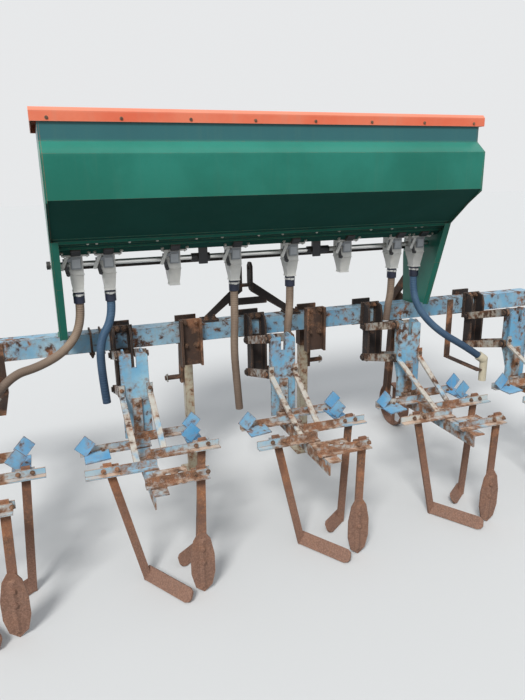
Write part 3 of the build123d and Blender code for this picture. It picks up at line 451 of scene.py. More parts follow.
def dusty_tops(tree, place, paint):
    """Pinkish dust dried on the upper faces."""
    upper = spread(tree, coordinate(tree, surface_normal(tree), "Z"), 0.3, 0.9)
    settled = times(tree, upper, spread(tree, noise(tree, place, 7.0, 4.0), 0.38, 0.58))
    return mixed(tree, settled, paint, PINK_DUST)


def greasy_ends(tree, place, paint):
    """Grease smeared round the two pivots of each link."""
    half_run = LINK_LENGTH * math.cos(LINK_ANGLE) / 2
    off_centre = minus(tree, coordinate(tree, place, "Y"), bar_y - FRONT_PIVOT_BACK - half_run)
    reach = maths(tree, "ABSOLUTE", off_centre)
    smeared = times(tree, spread(tree, reach, half_run - 0.050, half_run - 0.012),
                    spread(tree, noise(tree, place, 24.0, 4.0), 0.22, 0.50))
    return mixed(tree, smeared, paint, GREASE)


finish(painted_metal(
    "lost_blue_paint", (0.27, 0.50, 0.67, 1), (0.60, 0.61, 0.57, 1), (0.50, 0.36, 0.27, 1), 0.575,
    bright=0.75, stained=0.55, kept=outer_ends, tint=dusty_tops, charred=0.35),
    *[unit + "_tool_frame" for unit in UNITS])
finish(painted_metal(
    "link_paint", (0.32, 0.38, 0.42, 1), (0.64, 0.61, 0.53, 1), (0.42, 0.30, 0.20, 1), 0.545,
    bright=0.5, stained=0.5, charred=0.75, tint=greasy_ends),
    *[unit + part for unit in UNITS for part in ("_upper_links", "_lower_links")])

# Painted light by height: shade towards the bottom of the sides, a highlight on the upward bevel,
# and shade tinted as a sky reflection on the collar under the lid.
# Hopper
# Folded green sheet: two long panels, a trough floor and two end plates that stand on the toolbar.
# The paint still shines on the sides. The underside and the lower sides carry painted shade, the
# upward bevel a painted highlight, and the collar under the lid painted shade tinted as a sky
# reflection.
# Strength, heights where it starts and is full, colour
PAINTED_LIGHT_BANDS = (
    (0.35, 1.84, 1.62, (0.008, 0.110, 0.070, 1)),
    (0.30, 1.815, 1.850, (0.090, 0.360, 0.290, 1)),
    (0.72, 1.872, 1.892, (0.034, 0.108, 0.155, 1)),
)
# Lighter band along the rolled top edge of the lid.
LID_EDGE = ((0.55, 1.985, 2.000, (0.88, 0.36, 0.25, 1)),)


def height_bands(bands):
    """Tint that changes with height over the floor."""
    def tint(tree, place, paint):
        rise = coordinate(tree, place, "Z")
        for strength, start, full, color in bands:
            share = times(tree, spread(tree, rise, start, full), strength)
            paint = mixed(tree, share, paint, color)
        return paint
    return tint


hopper_green = painted_metal(
    "hopper_green_paint", (0.010, 0.172, 0.128, 1), (0.020, 0.228, 0.177, 1), (0.10, 0.20, 0.15, 1),
    0.18, rough=0.30, streaks=0.12, below=0.62, dents=0.006, sheen=0.30,
    tint=height_bands(PAINTED_LIGHT_BANDS))
finish(hopper_green, "hopper_rear_panel", "hopper_front_panel", "hopper_floor", "hopper_end_left",
       "hopper_end_right", "lid_hinges")

# Lid
# Pressed sheet in orange of two shades, lighter in a band along the rolled top edge, with pink
# primer showing where it is rubbed.
finish(painted_metal(
    "lid_orange_paint", (0.81, 0.155, 0.078, 1), (0.86, 0.230, 0.130, 1), (0.52, 0.34, 0.27, 1),
    0.27, rough=0.5, streaks=0.15, primer=(0.83, 0.42, 0.35, 1), dents=0.004,
    tint=height_bands(LID_EDGE)), "lid")

# Outlets and feed shaft
# Milky plastic housings under the trough, each with a black slide, a grey window and a bent arm.
# A bright ground shaft runs through all of them and turns in two black hangers.
BROWN_DUST = (0.20, 0.16, 0.12, 1)
MILKY_DEPTH = (0.02, 0.02, 0.02)


def plain_finish(name, color, second, rough, metallic=0.0, milky=0.0, dusty=0.6):
    """Plastic, rubber or plated steel in two close shades, with dust in its nooks."""
    material, tree, shader, place = new_material(name)
    tone = spread(tree, noise(tree, place, 10.0, 5.0), 0.3, 0.75)
    settled = times(tree, effect(tree, grime_and_shade_below, place)["Mask"], dusty)
    fill(tree, shader, {
        "Base Color": mixed(tree, settled, mixed(tree, tone, color, second), BROWN_DUST),
        "Roughness": plus(tree, rough, times(tree, tone, 0.15)), "Metallic": metallic})
    if milky:
        fill(tree, shader, {"Subsurface Weight": milky, "Subsurface Radius": MILKY_DEPTH})
    relief(tree, shader, noise(tree, place, 360.0, 3.0), 0.15, 0.0006)
    return material


def block(low, high):
    """Corner points and faces of an upright block."""
    points = [(x, y, z) for x in (low[0], high[0]) for y in (low[1], high[1])
              for z in (low[2], high[2])]
    return points, [(0, 1, 3, 2), (4, 6, 7, 5), (0, 4, 5, 1), (2, 3, 7, 6), (0, 2, 6, 4),
                    (1, 5, 7, 3)]


def prism(outline, start, run):
    """Outline of points, swept along run from its place at start."""
    count = len(outline)
    points = [Vector(start) + Vector(p) for p in outline]
    points += [p + Vector(run) for p in points]
    faces = [tuple(range(count)), tuple(range(count, 2 * count))]
    faces += [(i, (i + 1) % count, (i + 1) % count + count, i + count) for i in range(count)]
    return points, faces


def rod(start, end, radius, steps=20):
    """Round bar between two places."""
    start, run = Vector(start), Vector(end) - Vector(start)
    turn = run.to_track_quat("Z", "Y")
    circle = [turn @ Vector((radius * math.cos(a), radius * math.sin(a), 0))
              for a in (2 * math.pi * i / steps for i in range(steps))]
    return prism(circle, start, run)


def band(centre, axis, inner, outer, thick, steps=28):
    """Flat ring standing on centre, thick along axis."""
    turn = Vector(axis).to_track_quat("Z", "Y")
    points, faces = [], []
    for i in range(steps):
        angle = 2 * math.pi * i / steps
        for radius, rise in ((inner, 0), (outer, 0), (outer, thick), (inner, thick)):
            spot = Vector((radius * math.cos(angle), radius * math.sin(angle), rise))
            points.append(Vector(centre) + turn @ spot)
        here, there = 4 * i, 4 * ((i + 1) % steps)
        faces += [(here + k, here + (k + 1) % 4, there + (k + 1) % 4, there + k) for k in range(4)]
    return points, faces


def piece(name, solids, material, body, bevel=0.0):
    """One piece made of closed solids, riding on a body, its edges broken by a bevel."""
    mesh = bpy.data.meshes.new(name)
    shape = bmesh.new()
    for points, faces in solids:
        spots = [shape.verts.new(point) for point in points]
        for face in faces:
            shape.faces.new([spots[i] for i in face])
    bmesh.ops.recalc_face_normals(shape, faces=shape.faces)
    shape.to_mesh(mesh)
    shape.free()
    mesh.materials.append(material)
    made = new_object(name, mesh)
    if bevel:
        rounding = made.modifiers.new("rounding", "BEVEL")
        rounding.width = bevel
        rounding.segments = 2
        rounding.limit_method = "ANGLE"
    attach(made, body)


pale_plastic = plain_finish(
    "pale_plastic", (0.66, 0.68, 0.68, 1), (0.84, 0.85, 0.83, 1), 0.35, milky=0.35)
finish(pale_plastic, "metering_housings")
black_plastic = plain_finish(
    "black_plastic", (0.014, 0.015, 0.019, 1), (0.032, 0.034, 0.040, 1), 0.38)
finish(black_plastic, "shaft_brackets")
finish(plain_finish(
    "navy_rubber", (0.010, 0.014, 0.034, 1), (0.026, 0.034, 0.065, 1), 0.45), "outlet_sleeves")
finish(plain_finish(
    "ground_steel", (0.74, 0.74, 0.71, 1), (0.84, 0.84, 0.82, 1), 0.30, metallic=1.0,
    dusty=0.25), "feed_shaft")
finish(plain_finish(
    "slide_plastic", (0.24, 0.27, 0.31, 1), (0.36, 0.40, 0.44, 1), 0.3, milky=0.15), "outlet_gates")
window_plastic = plain_finish(
    "window_plastic", (0.44, 0.48, 0.53, 1), (0.56, 0.60, 0.64, 1), 0.25, milky=0.2)
OUTLETS = (-0.95, -0.80, -0.48, -0.16, 0.16, 0.48, 0.80, 0.95)
OUTLET_BACK, WAIST_RISE = 0.205, 0.343
WINDOW_HALF, WINDOW_FOOT, WINDOW_HEAD, WINDOW_PROUD = 0.019, 0.007, 0.014, 0.0025
SEAT = 0.001
# Outlines as (across, up)
ARM = [(x, 0, z) for x, z in ((0, 0), (0.016, 0.010), (0.030, -0.052), (0.014, -0.066))]
CHEEK = [(x, 0, z) for x, z in ((0, 0), (0.018, 0.003), (-0.010, -0.062), (-0.027, -0.058))]
LUG = ((0, 0.0075), (0.013, 0.0075), (0.015, 0.002), (0, -0.006))
ARM_ASIDE, ARM_DROP, ARM_SHEET = 0.062, 0.026, 0.005
KNOB_ASIDE, KNOB_DROP, KNOB_RADIUS, KNOB_REAR, KNOB_FRONT = 0.040, 0.084, 0.009, 0.010, 0.008
RIM_HALF, RIM_PROUD, RIM_TOP, RIM_BITE, LUG_DEPTH = 0.050, 0.009, 0.0075, 0.002, 0.020
CHEEK_PROUD, CHEEK_DROP = 0.0005, 0.003
MOUTH_HALF, MOUTH_FOOT, MOUTH_RISE = 0.027, 0.0005, 0.009
WAIST_HALF, WAIST_REAR, WAIST_FRONT, WAIST_SHEET = 0.035, 0.045, 0.057, 0.002
gate_low, gate_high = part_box("outlet_gates")
gate_y, gate_top = gate_low.y, gate_high.z
funnel_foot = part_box("metering_housings")[0].z
funnel_y = bar_y - OUTLET_BACK
waist_z = bar_top + WAIST_RISE
rim_y = gate_y - RIM_PROUD
arms, rims, windows = [], [], []
for x in OUTLETS:
    windows.append(block((x - WINDOW_HALF, gate_y - WINDOW_PROUD, gate_low.z + WINDOW_FOOT),
                         (x + WINDOW_HALF, gate_y + SEAT, gate_top - WINDOW_HEAD)))
    arms.append(prism(ARM, (x - ARM_ASIDE, gate_y + SEAT, gate_top - ARM_DROP), (0, ARM_SHEET, 0)))
    knob_x, knob_z = x - KNOB_ASIDE, gate_top - KNOB_DROP
    arms.append(rod((knob_x, gate_y - KNOB_REAR, knob_z), (knob_x, gate_y + KNOB_FRONT, knob_z),
                    KNOB_RADIUS))
    rims.append(block((x - RIM_HALF, rim_y, gate_top - SEAT),
                      (x + RIM_HALF, gate_y + RIM_BITE, gate_top + RIM_TOP)))
    for side in (-1, 1):
        rims.append(prism([(side * out, 0, up) for out, up in LUG],
                          (x + side * RIM_HALF, rim_y, gate_top), (0, LUG_DEPTH, 0)))
    rims.append(prism(CHEEK, (x - RIM_HALF, rim_y - CHEEK_PROUD, gate_top - CHEEK_DROP),
                      (0, ARM_SHEET, 0)))
    rims.append(block((x - MOUTH_HALF, funnel_y - MOUTH_HALF, funnel_foot + MOUTH_FOOT),
                      (x + MOUTH_HALF, funnel_y + MOUTH_HALF, funnel_foot + MOUTH_RISE)))
    rims.append(block((x - WAIST_HALF, funnel_y - WAIST_REAR, waist_z - WAIST_SHEET),
                      (x + WAIST_HALF, funnel_y + WAIST_FRONT, waist_z + WAIST_SHEET)))
piece("outlet_windows", windows, window_plastic, "frame", 0.001)
piece("outlet_arms", arms, black_plastic, "frame", 0.0012)
piece("outlet_rims", rims, pale_plastic, "frame", 0.0012)

# Hose clips
# A zinc worm-drive clip round the top of each rubber sleeve, with its screw to the rear. The two
# outlets without a hose have no sleeve and no clip.
clip_zinc = plain_finish(
    "clip_zinc", (0.50, 0.50, 0.48, 1), (0.64, 0.64, 0.62, 1), 0.35, metallic=1.0)
sleeve_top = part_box("outlet_sleeves")[1].z
SLEEVE_RADIUS, CLIP_SHEET, CLIP_WIDTH, CLIP_DROP = 0.027, 0.0018, 0.009, 0.018
SCREW_HALF, SCREW_DEPTH, SCREW_FOOT, SCREW_TOP = 0.008, 0.008, 0.019, 0.008
WITHOUT_HOSE = (-0.48, 0.48)
clips = []
for x in OUTLETS:
    if x in WITHOUT_HOSE:
        continue
    clips.append(band((x, funnel_y, sleeve_top - CLIP_DROP), (0, 0, 1), SLEEVE_RADIUS,
                      SLEEVE_RADIUS + CLIP_SHEET, CLIP_WIDTH))
    screw_front = funnel_y - SLEEVE_RADIUS - SEAT
    clips.append(block((x - SCREW_HALF, screw_front - SCREW_DEPTH, sleeve_top - SCREW_FOOT),
                       (x + SCREW_HALF, screw_front, sleeve_top - SCREW_TOP)))
piece("hose_clips", clips, clip_zinc, "frame", 0.0006)

# Shaft couplings
# Black cast sleeves on the feed shaft beside each hanger and at its left end, held by a screw, and
# a moulded guard behind each hanger.
shaft_low, shaft_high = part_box("feed_shaft")
shaft_y, shaft_z = (shaft_low.y + shaft_high.y) / 2, (shaft_low.z + shaft_high.z) / 2
SHAFT_RADIUS = (shaft_high.z - shaft_low.z) / 2
COLLAR_FIT, COLLAR_WALL = 0.0001, 0.007
# Left end, length
COLLARS = ((-0.375, 0.040), (-0.308, 0.030), (0.276, 0.034), (0.336, 0.070), (-1.082, 0.018))
HANGERS = (-0.32, 0.32)
GUARD_HALF, GUARD_REAR, GUARD_FRONT, GUARD_DROP, GUARD_RISE = 0.024, 0.036, 0.026, 0.034, 0.053
couplings = [band((x, shaft_y, shaft_z), (1, 0, 0), SHAFT_RADIUS + COLLAR_FIT,
                  SHAFT_RADIUS + COLLAR_WALL, length) for x, length in COLLARS]
piece("shaft_collars", couplings, black_plastic, "feed_shaft", 0.0015)
guards = [block((x - GUARD_HALF, shaft_y - GUARD_REAR, shaft_z - GUARD_DROP),
                (x + GUARD_HALF, shaft_y - GUARD_FRONT, shaft_z + GUARD_RISE)) for x in HANGERS]
piece("hanger_guards", guards, black_plastic, "frame", 0.003)

# Drop boots and parking stands
# Cream plastic boots under the outer hoses, and square posts in cream paint, scraped where they
# slide through their sockets.
finish(plain_finish(
    "cream_plastic", (0.60, 0.55, 0.42, 1), (0.72, 0.68, 0.55, 1), 0.5), "drop_boots")
finish(painted_metal(
    "cream_paint", (0.50, 0.46, 0.35, 1), (0.62, 0.58, 0.47, 1), (0.34, 0.27, 0.20, 1), 0.50,
    stained=0.6), "stand_left", "stand_right")

# Stand screws
# A bent bar through the clamping screw of each socket, so that it turns by hand. It stands in
# front of the post.
SCREW_AHEAD, SCREW_DROP = 0.064, 0.120
HANDLE_HALF, HANDLE_TILT, HANDLE_RADIUS = 0.045, 0.020, 0.0045
stand_low, stand_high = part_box("stand_left")
screw_y = (stand_low.y + stand_high.y) / 2 + SCREW_AHEAD
screw_z = bar_top - SCREW_DROP
handles = []
for side in (-1, 1):
    x = side * abs(stand_low.x + stand_high.x) / 2
    handles.append(rod((x - HANDLE_HALF, screw_y, screw_z - HANDLE_TILT),
                       (x + HANDLE_HALF, screw_y, screw_z + HANDLE_TILT), HANDLE_RADIUS))
piece("stand_screw_bars", handles, brown_iron, "frame", 0.001)


# Bolts and nuts
# Hexagon heads with a washer below and a short end of thread, as they hold clamps, shanks, wing
# plates and the mast. One tree makes them all: it turns each to its own direction and to a chance
# angle.
def geometry_tree(name, **sizes):
    """Geometry Nodes tree with these sizes and a material for inputs."""
    inputs = {label.replace("_", " ").capitalize(): value for label, value in sizes.items()}
    inputs = {"Geometry": "Geometry", **inputs, "Finish": "Material"}
    return group(name, inputs, ["Geometry"], "GeometryNodeTree")


def close_tree(tree, entry, exit_sockets, geometry):
    """End a tree in Realize Instances and Set Material."""
    real = node(tree, "GeometryNodeRealizeInstances", {"Geometry": geometry})
    painted = node(tree, "GeometryNodeSetMaterial",
                   {"Geometry": real.outputs["Geometry"], "Material": entry["Finish"]})
    put(tree, exit_sockets["Geometry"], painted.outputs["Geometry"])


def lifted(tree, mesh, rise):
    """Mesh moved up along its own axis."""
    offset = node(tree, "ShaderNodeCombineXYZ", {"Z": rise}).outputs["Vector"]
    moved = node(tree, "GeometryNodeTransform", {"Geometry": mesh, "Translation": offset})
    return moved.outputs["Geometry"]


def chance(tree, seed, low, high):
    """Random number between low and high for each place."""
    made = node(tree, "FunctionNodeRandomValue", data_type="FLOAT")
    for socket in made.inputs:
        if socket.type == "VALUE" and socket.name in ("Min", "Max"):
            socket.default_value = low if socket.name == "Min" else high
    put(tree, made.inputs["Seed"], seed)
    return made.outputs[1]


WASHER_SHEET = 0.0024
bolts, bolt_in, bolt_out = geometry_tree(
    "bolt_ends", head_radius=0.012, head_height=0.008, sides=6, thread=0.012, seed=7)
head_radius, head_height = bolt_in["Head radius"], bolt_in["Head height"]
washer = node(bolts, "GeometryNodeMeshCylinder", {
    "Vertices": 18, "Radius": times(bolts, head_radius, 1.28), "Depth": WASHER_SHEET})
head = node(bolts, "GeometryNodeMeshCylinder", {
    "Vertices": bolt_in["Sides"], "Radius": head_radius, "Depth": head_height})
crown = node(bolts, "GeometryNodeMeshCone", {
    "Vertices": bolt_in["Sides"], "Radius Bottom": head_radius,
    "Radius Top": times(bolts, head_radius, 0.80), "Depth": times(bolts, head_height, 0.22)})
thread = node(bolts, "GeometryNodeMeshCylinder", {
    "Vertices": 12, "Radius": times(bolts, head_radius, 0.54), "Depth": bolt_in["Thread"]})
whole = bolts.nodes.new("GeometryNodeJoinGeometry")
for part, rise in ((washer, WASHER_SHEET / 2),
                   (head, plus(bolts, times(bolts, head_height, 0.5), WASHER_SHEET)),
                   (crown, plus(bolts, head_height, WASHER_SHEET)),
                   (thread, plus(bolts, times(bolts, bolt_in["Thread"], 0.5), head_height))):
    bolts.links.new(lifted(bolts, part.outputs["Mesh"], rise), whole.inputs["Geometry"])
aim = node(bolts, "GeometryNodeInputNamedAttribute", {"Name": "direction"},
           data_type="FLOAT_VECTOR")
aligned = node(bolts, "FunctionNodeAlignRotationToVector", {"Vector": aim.outputs["Attribute"]},
               axis="Z")
spin = node(bolts, "FunctionNodeAxisAngleToRotation", {
    "Axis": (0, 0, 1), "Angle": chance(bolts, bolt_in["Seed"], 0, 2 * math.pi)})
turned = node(bolts, "FunctionNodeRotateRotation", {
    "Rotation": aligned.outputs["Rotation"], "Rotate By": spin.outputs["Rotation"]},
    rotation_space="LOCAL")
placed = node(bolts, "GeometryNodeInstanceOnPoints", {
    "Points": bolt_in["Geometry"], "Instance": whole.outputs["Geometry"],
    "Rotation": turned.outputs["Rotation"]})
close_tree(bolts, bolt_in, bolt_out, placed.outputs["Instances"])


def grown(name, mesh, tree, values, body):
    """Run a tree over a mesh and keep what it makes as a plain piece on one body."""
    seed_object = new_object(name + "_seed", mesh)
    maker = seed_object.modifiers.new("maker", "NODES")
    maker.node_group = tree
    for item in tree.interface.items_tree:
        if item.item_type == "SOCKET" and item.in_out == "INPUT" and item.name in values:
            maker[item.identifier] = values[item.name]
    seen = seed_object.evaluated_get(bpy.context.evaluated_depsgraph_get())
    result = bpy.data.meshes.new_from_object(seen)
    result.name = name
    bpy.data.objects.remove(seed_object)
    made = new_object(name, result)
    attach(made, body)


def fasteners(name, spots, material, body, size, seed, sides=6):
    """Bolts at (place, direction) pairs, of a head radius, head height and thread, as one piece."""
    mesh = bpy.data.meshes.new(name + "_spots")
    mesh.from_pydata([place for place, _ in spots], [], [])
    direction = mesh.attributes.new("direction", "FLOAT_VECTOR", "POINT")
    for entry, (_, way) in zip(direction.data, spots):
        entry.vector = way
    values = {"Head radius": size[0], "Head height": size[1], "Thread": size[2], "Sides": sides,
              "Seed": seed, "Finish": material}
    grown(name, mesh, bolts, values, body)


REAR, FRONT, UP, DOWN = (0, -1, 0), (0, 1, 0), (0, 0, 1), (0, 0, -1)
CLAMP_SHEET = 0.012
OVERLAP_MIDDLE = 0.016
CLAMP_ASIDE, BRACKET_ASIDE = 0.020, 0.030
BRACKET_X = 0.375
MAST_PAD_SPOTS, MAST_BOLT_BACK = (0.228, 0.272), 0.030
clamp_rear, clamp_front = bar_low.y - CLAMP_SHEET, bar_high.y + CLAMP_SHEET
clamp_heights = (bar_high.z + OVERLAP_MIDDLE, bar_low.z - OVERLAP_MIDDLE)
clamp_bolts = []
for _, x in unit_places:
    for z in clamp_heights:
        for aside in (-CLAMP_ASIDE, CLAMP_ASIDE):
            clamp_bolts.append(((x + aside, clamp_rear, z), REAR))
            clamp_bolts.append(((x + aside, clamp_front, z), FRONT))
for side in (-1, 1):
    for aside in (-BRACKET_ASIDE, BRACKET_ASIDE):
        for z in clamp_heights:
            clamp_bolts.append(((side * BRACKET_X + aside, clamp_rear, z), REAR))
    for spot in MAST_PAD_SPOTS:
        clamp_bolts.append(((side * spot, bar_y - MAST_BOLT_BACK, bar_top + CLAMP_SHEET), UP))
fasteners("clamp_bolts", clamp_bolts, brown_iron, "frame",
          size=(0.0125, 0.010, 0.016), seed=3)

# Tool frame bolts
# Two bolts pull each shank clamp against its crossbar. Others hold the lug to the upright, the
# pads of the braces and the thin wing plates.
# Places as (across, behind the toolbar's middle)
TOOL_SPOTS = ((-0.178, 0.875), (0.240, 0.775), (0.170, 1.035))
WING_SPOTS = ((-0.245, 0.662), (-0.185, 0.662), (0.198, 0.600), (0.224, 0.600))
BEAM_Z = 0.550
LUG_FRONT, LUG_THICK = bar_y - 0.5003, 0.012
SHANK_BOLT_ASIDE, SHANK_BOLT_RISE = 0.028, 0.020
SHANK_FRONT, SHANK_REAR = 0.020, 0.006
LUG_BOLT_HEIGHTS = (0.628, 0.700)
BRACE_ASIDE, BRACE_BOLT_Z, BRACE_PROUD = 0.066, 0.776, 0.0077
WING_TOP = 0.0116
for unit, x in unit_places:
    spots = []
    bolt_z = BEAM_Z + SHANK_BOLT_RISE
    for aside, behind in TOOL_SPOTS:
        for bolt_x in (x + aside - SHANK_BOLT_ASIDE, x + aside + SHANK_BOLT_ASIDE):
            spots.append(((bolt_x, bar_y - behind - SHANK_REAR, bolt_z), REAR))
            spots.append(((bolt_x, bar_y - behind + SHANK_FRONT, bolt_z), FRONT))
    for z in LUG_BOLT_HEIGHTS:
        spots.append(((x, LUG_FRONT - LUG_THICK, z), REAR))
    for aside in (-BRACE_ASIDE, BRACE_ASIDE):
        spots.append(((x + aside, LUG_FRONT - BRACE_PROUD, BRACE_BOLT_Z), REAR))
    fasteners(unit + "_frame_bolts", spots, brown_iron, unit + "_tool_carrier",
              size=(0.0080, 0.006, 0.009), seed=11)
    flat = [((x + aside, bar_y - behind, BEAM_Z + WING_TOP), UP) for aside, behind in WING_SPOTS]
    fasteners(unit + "_wing_bolts", flat, brown_iron, unit + "_tool_carrier",
              size=(0.0065, 0.005, 0.004), seed=5)

# Pivot bosses
# A thick turned washer is welded on the outside of each link end, dark with old grease, and the
# bolt's head runs against it.
UPPER_FRONT_Z, LINK_SPACING = 0.840, 0.190
LINK_FACE = 0.0655
BOSS_BORE, BOSS_RADIUS, BOSS_THICK = 0.0112, 0.0230, 0.0045
for unit, x in unit_places:
    for row, front_z in (("upper", UPPER_FRONT_Z), ("lower", UPPER_FRONT_Z - LINK_SPACING)):
        rings = []
        for along in (0, LINK_LENGTH):
            y = bar_y - FRONT_PIVOT_BACK - along * math.cos(LINK_ANGLE)
            z = front_z + along * math.sin(LINK_ANGLE)
            for side in (-1, 1):
                rings.append(band((x + side * LINK_FACE, y, z), (side, 0, 0), BOSS_BORE,
                                  BOSS_RADIUS, BOSS_THICK))
        piece(f"{unit}_{row}_bosses", rings, greasy_iron, f"{unit}_{row}", 0.0012)

# Weld beads
# Rippled beads where crossbars lie on the beam, where the mast's legs meet their pads and where
# the end plates stand on the toolbar. The tree sets a drop every few millimetres along each seam.
beads, bead_in, bead_out = geometry_tree("weld_bead", spacing=0.004, radius=0.0045, seed=2)
seam = node(beads, "GeometryNodeMeshToCurve", {"Mesh": bead_in["Geometry"]})
dots = node(beads, "GeometryNodeResampleCurve",
            {"Curve": seam.outputs["Curve"], "Length": bead_in["Spacing"]}, mode="LENGTH")
drop = node(beads, "GeometryNodeMeshIcoSphere", {"Radius": bead_in["Radius"], "Subdivisions": 2})
dripped = node(beads, "GeometryNodeInstanceOnPoints", {
    "Points": dots.outputs["Curve"], "Instance": drop.outputs["Mesh"],
    "Scale": chance(beads, bead_in["Seed"], 0.75, 1.2)})
close_tree(beads, bead_in, bead_out, dripped.outputs["Instances"])


def welds(name, seams, material, body, radius=0.0045):
    """Weld beads along straight seams, as one piece."""
    mesh = bpy.data.meshes.new(name + "_seams")
    ends = [(2 * i, 2 * i + 1) for i in range(len(seams))]
    mesh.from_pydata([end for seam_ends in seams for end in seam_ends], ends, [])
    grown(name, mesh, beads, {"Radius": radius, "Finish": material}, body)


# Behind the toolbar's middle, left end, right end
CROSSBARS = ((0.875, -0.040, 0.018), (1.035, -0.040, 0.020), (0.775, -0.015, 0.020),
             (0.640, -0.040, 0.020), (0.570, -0.020, 0.020))
CROSS_LEG, LUG_LEFT, LUG_RIGHT = 0.034, 0.022, 0.020
seam_z, lug_rear = BEAM_Z + SEAT, LUG_FRONT - LUG_THICK
for unit, x in unit_places:
    seams = []
    for behind, left, right in CROSSBARS:
        y = bar_y - behind - CROSS_LEG
        seams.append(((x + left, y, seam_z), (x + right, y, seam_z)))
    lug_corner = (x - LUG_LEFT, lug_rear, seam_z)
    seams.append((lug_corner, (x - LUG_LEFT, LUG_FRONT, seam_z)))
    seams.append((lug_corner, (x + LUG_RIGHT, lug_rear, seam_z)))
    welds(unit + "_frame_welds", seams, brown_iron, unit + "_tool_carrier", 0.0038)
LEG_FACES, PAD_ENDS, PAD_TOP = (0.0185, 0.033), (0.220, 0.280), bar_top + 0.0125
FOOT_FACES, FOOT_MARGIN = (1.0515, 1.0605), 0.004
mast_seams, foot_seams = [], []
for side in (-1, 1):
    for ahead in LEG_FACES:
        mast_seams.append([(side * end, bar_y + ahead, PAD_TOP) for end in PAD_ENDS])
    for face in FOOT_FACES:
        foot_seams.append([(side * face, y, bar_top + SEAT)
                           for y in (bar_low.y + FOOT_MARGIN, bar_high.y - FOOT_MARGIN)])
welds("mast_welds", mast_seams, dark_iron, "frame")
welds("foot_welds", foot_seams, hopper_green, "frame")

# Shovel ridges
# Each shovel is forged with a ridge down its rear face that stiffens it and parts the soil. Two
# countersunk bolts hold it on its shank.
SHOVEL_X, SHOVEL_BACK, SHOVEL_SHEET = 0.158, 1.035, 0.009
# Aside from the shovel's middle, behind its face, height over the floor
RIDGE = ((-0.013, 0, 0.018), (0.013, 0, 0.018), (0, 0.0055, 0.030),
         (-0.015, 0, 0.262), (0.015, 0, 0.262), (0, 0.0055, 0.246))
RIDGE_FACES = [(0, 1, 2), (3, 5, 4), (0, 2, 5, 3), (1, 4, 5, 2), (0, 3, 4, 1)]
SHOVEL_BOLT_HEIGHTS, SHOVEL_BOLT_PROUD = (0.150, 0.215), 0.004
face_y = bar_y - SHOVEL_BACK - SHOVEL_SHEET
for unit, x in unit_places:
    middle = x + SHOVEL_X
    points = [(middle + aside, face_y - behind, z) for aside, behind, z in RIDGE]
    piece(unit + "_shovel_ridge", [(points, RIDGE_FACES)], tool_iron, unit + "_tool_carrier")
    countersunk = [((middle, face_y - SHOVEL_BOLT_PROUD, z), REAR) for z in SHOVEL_BOLT_HEIGHTS]
    fasteners(unit + "_shovel_bolts", countersunk, tool_iron, unit + "_tool_carrier",
              size=(0.009, 0.004, 0.001), seed=9, sides=14)

# Hopper fittings
# Folded stiffeners run along both sloping panels, and the end plates are folded inwards along the
# rear edge of their legs. Black caps and small plated bolts hold the outlets and the trough.
HOPPER_BACK = 0.180
TROUGH_EDGE, SLOPE_TOP = Vector((0.080, 0.440)), Vector((0.430, 0.700))
slope_run = (SLOPE_TOP - TROUGH_EDGE).normalized()
slope_out = Vector((slope_run.y, -slope_run.x))
hopper_y = bar_y - HOPPER_BACK


def on_slope(side, along, out):
    """Place on a sloping panel as (y, z): metres up from the trough and metres off the sheet."""
    spot = TROUGH_EDGE + slope_run * along + slope_out * out
    return hopper_y + side * spot.x, bar_top + spot.y


STIFFENER_HALF, STIFFENER_SHEET, LIP_SHEET = 1.045, 0.003, 0.004
# Up from the trough, width, lip
STIFFENERS = ((0.064, 0.022, 0.012), (0.122, 0.022, 0.018))
stiffeners = []
for side in (-1, 1):
    for along, width, lip in STIFFENERS:
        corners = ((along, -SEAT), (along + width, -SEAT), (along + width, STIFFENER_SHEET),
                   (along + LIP_SHEET, STIFFENER_SHEET), (along + LIP_SHEET, lip), (along, lip))
        outline = [(0, *on_slope(side, *corner)) for corner in corners]
        stiffeners.append(prism(outline, (-STIFFENER_HALF, 0, 0), (2 * STIFFENER_HALF, 0, 0)))
piece("hopper_stiffeners", stiffeners, hopper_green, "frame", 0.001)
CAP_CORNERS, CAP_HALF = ((0.006, -0.001), (0.052, -0.001), (0.048, 0.012), (0.010, 0.016)), 0.023
cap_outline = [(0, *on_slope(-1, *corner)) for corner in CAP_CORNERS]
caps = [prism(cap_outline, (x - CAP_HALF, 0, 0), (2 * CAP_HALF, 0, 0)) for x in OUTLETS]
piece("outlet_caps", caps, black_plastic, "frame", 0.0025)
PLATE_INSIDE, EDGE_FOLD, FOLD_SHEET = 1.052, 0.030, 0.003
# Behind the hopper's middle, above the toolbar
LEG_EDGE = [Vector((hopper_y - back, bar_top + rise))
            for back, rise in ((0.197, 0.512), (0.121, 0.285), (0.032, 0.022))]
folds = []
for side in (-1, 1):
    for upper, lower in zip(LEG_EDGE, LEG_EDGE[1:]):
        off = Vector((upper - lower).yx).normalized() * FOLD_SHEET
        off.y = -off.y
        outline = [(0, *spot) for spot in (upper, lower, lower + off, upper + off)]
        folds.append(prism(outline, (side * (PLATE_INSIDE + SEAT), 0, 0),
                           (-side * (EDGE_FOLD + SEAT), 0, 0)))
piece("leg_folds", folds, hopper_green, "frame", 0.0008)
plated = plain_finish(
    "plated_steel", (0.42, 0.42, 0.38, 1), (0.60, 0.60, 0.56, 1), 0.35, metallic=1.0)
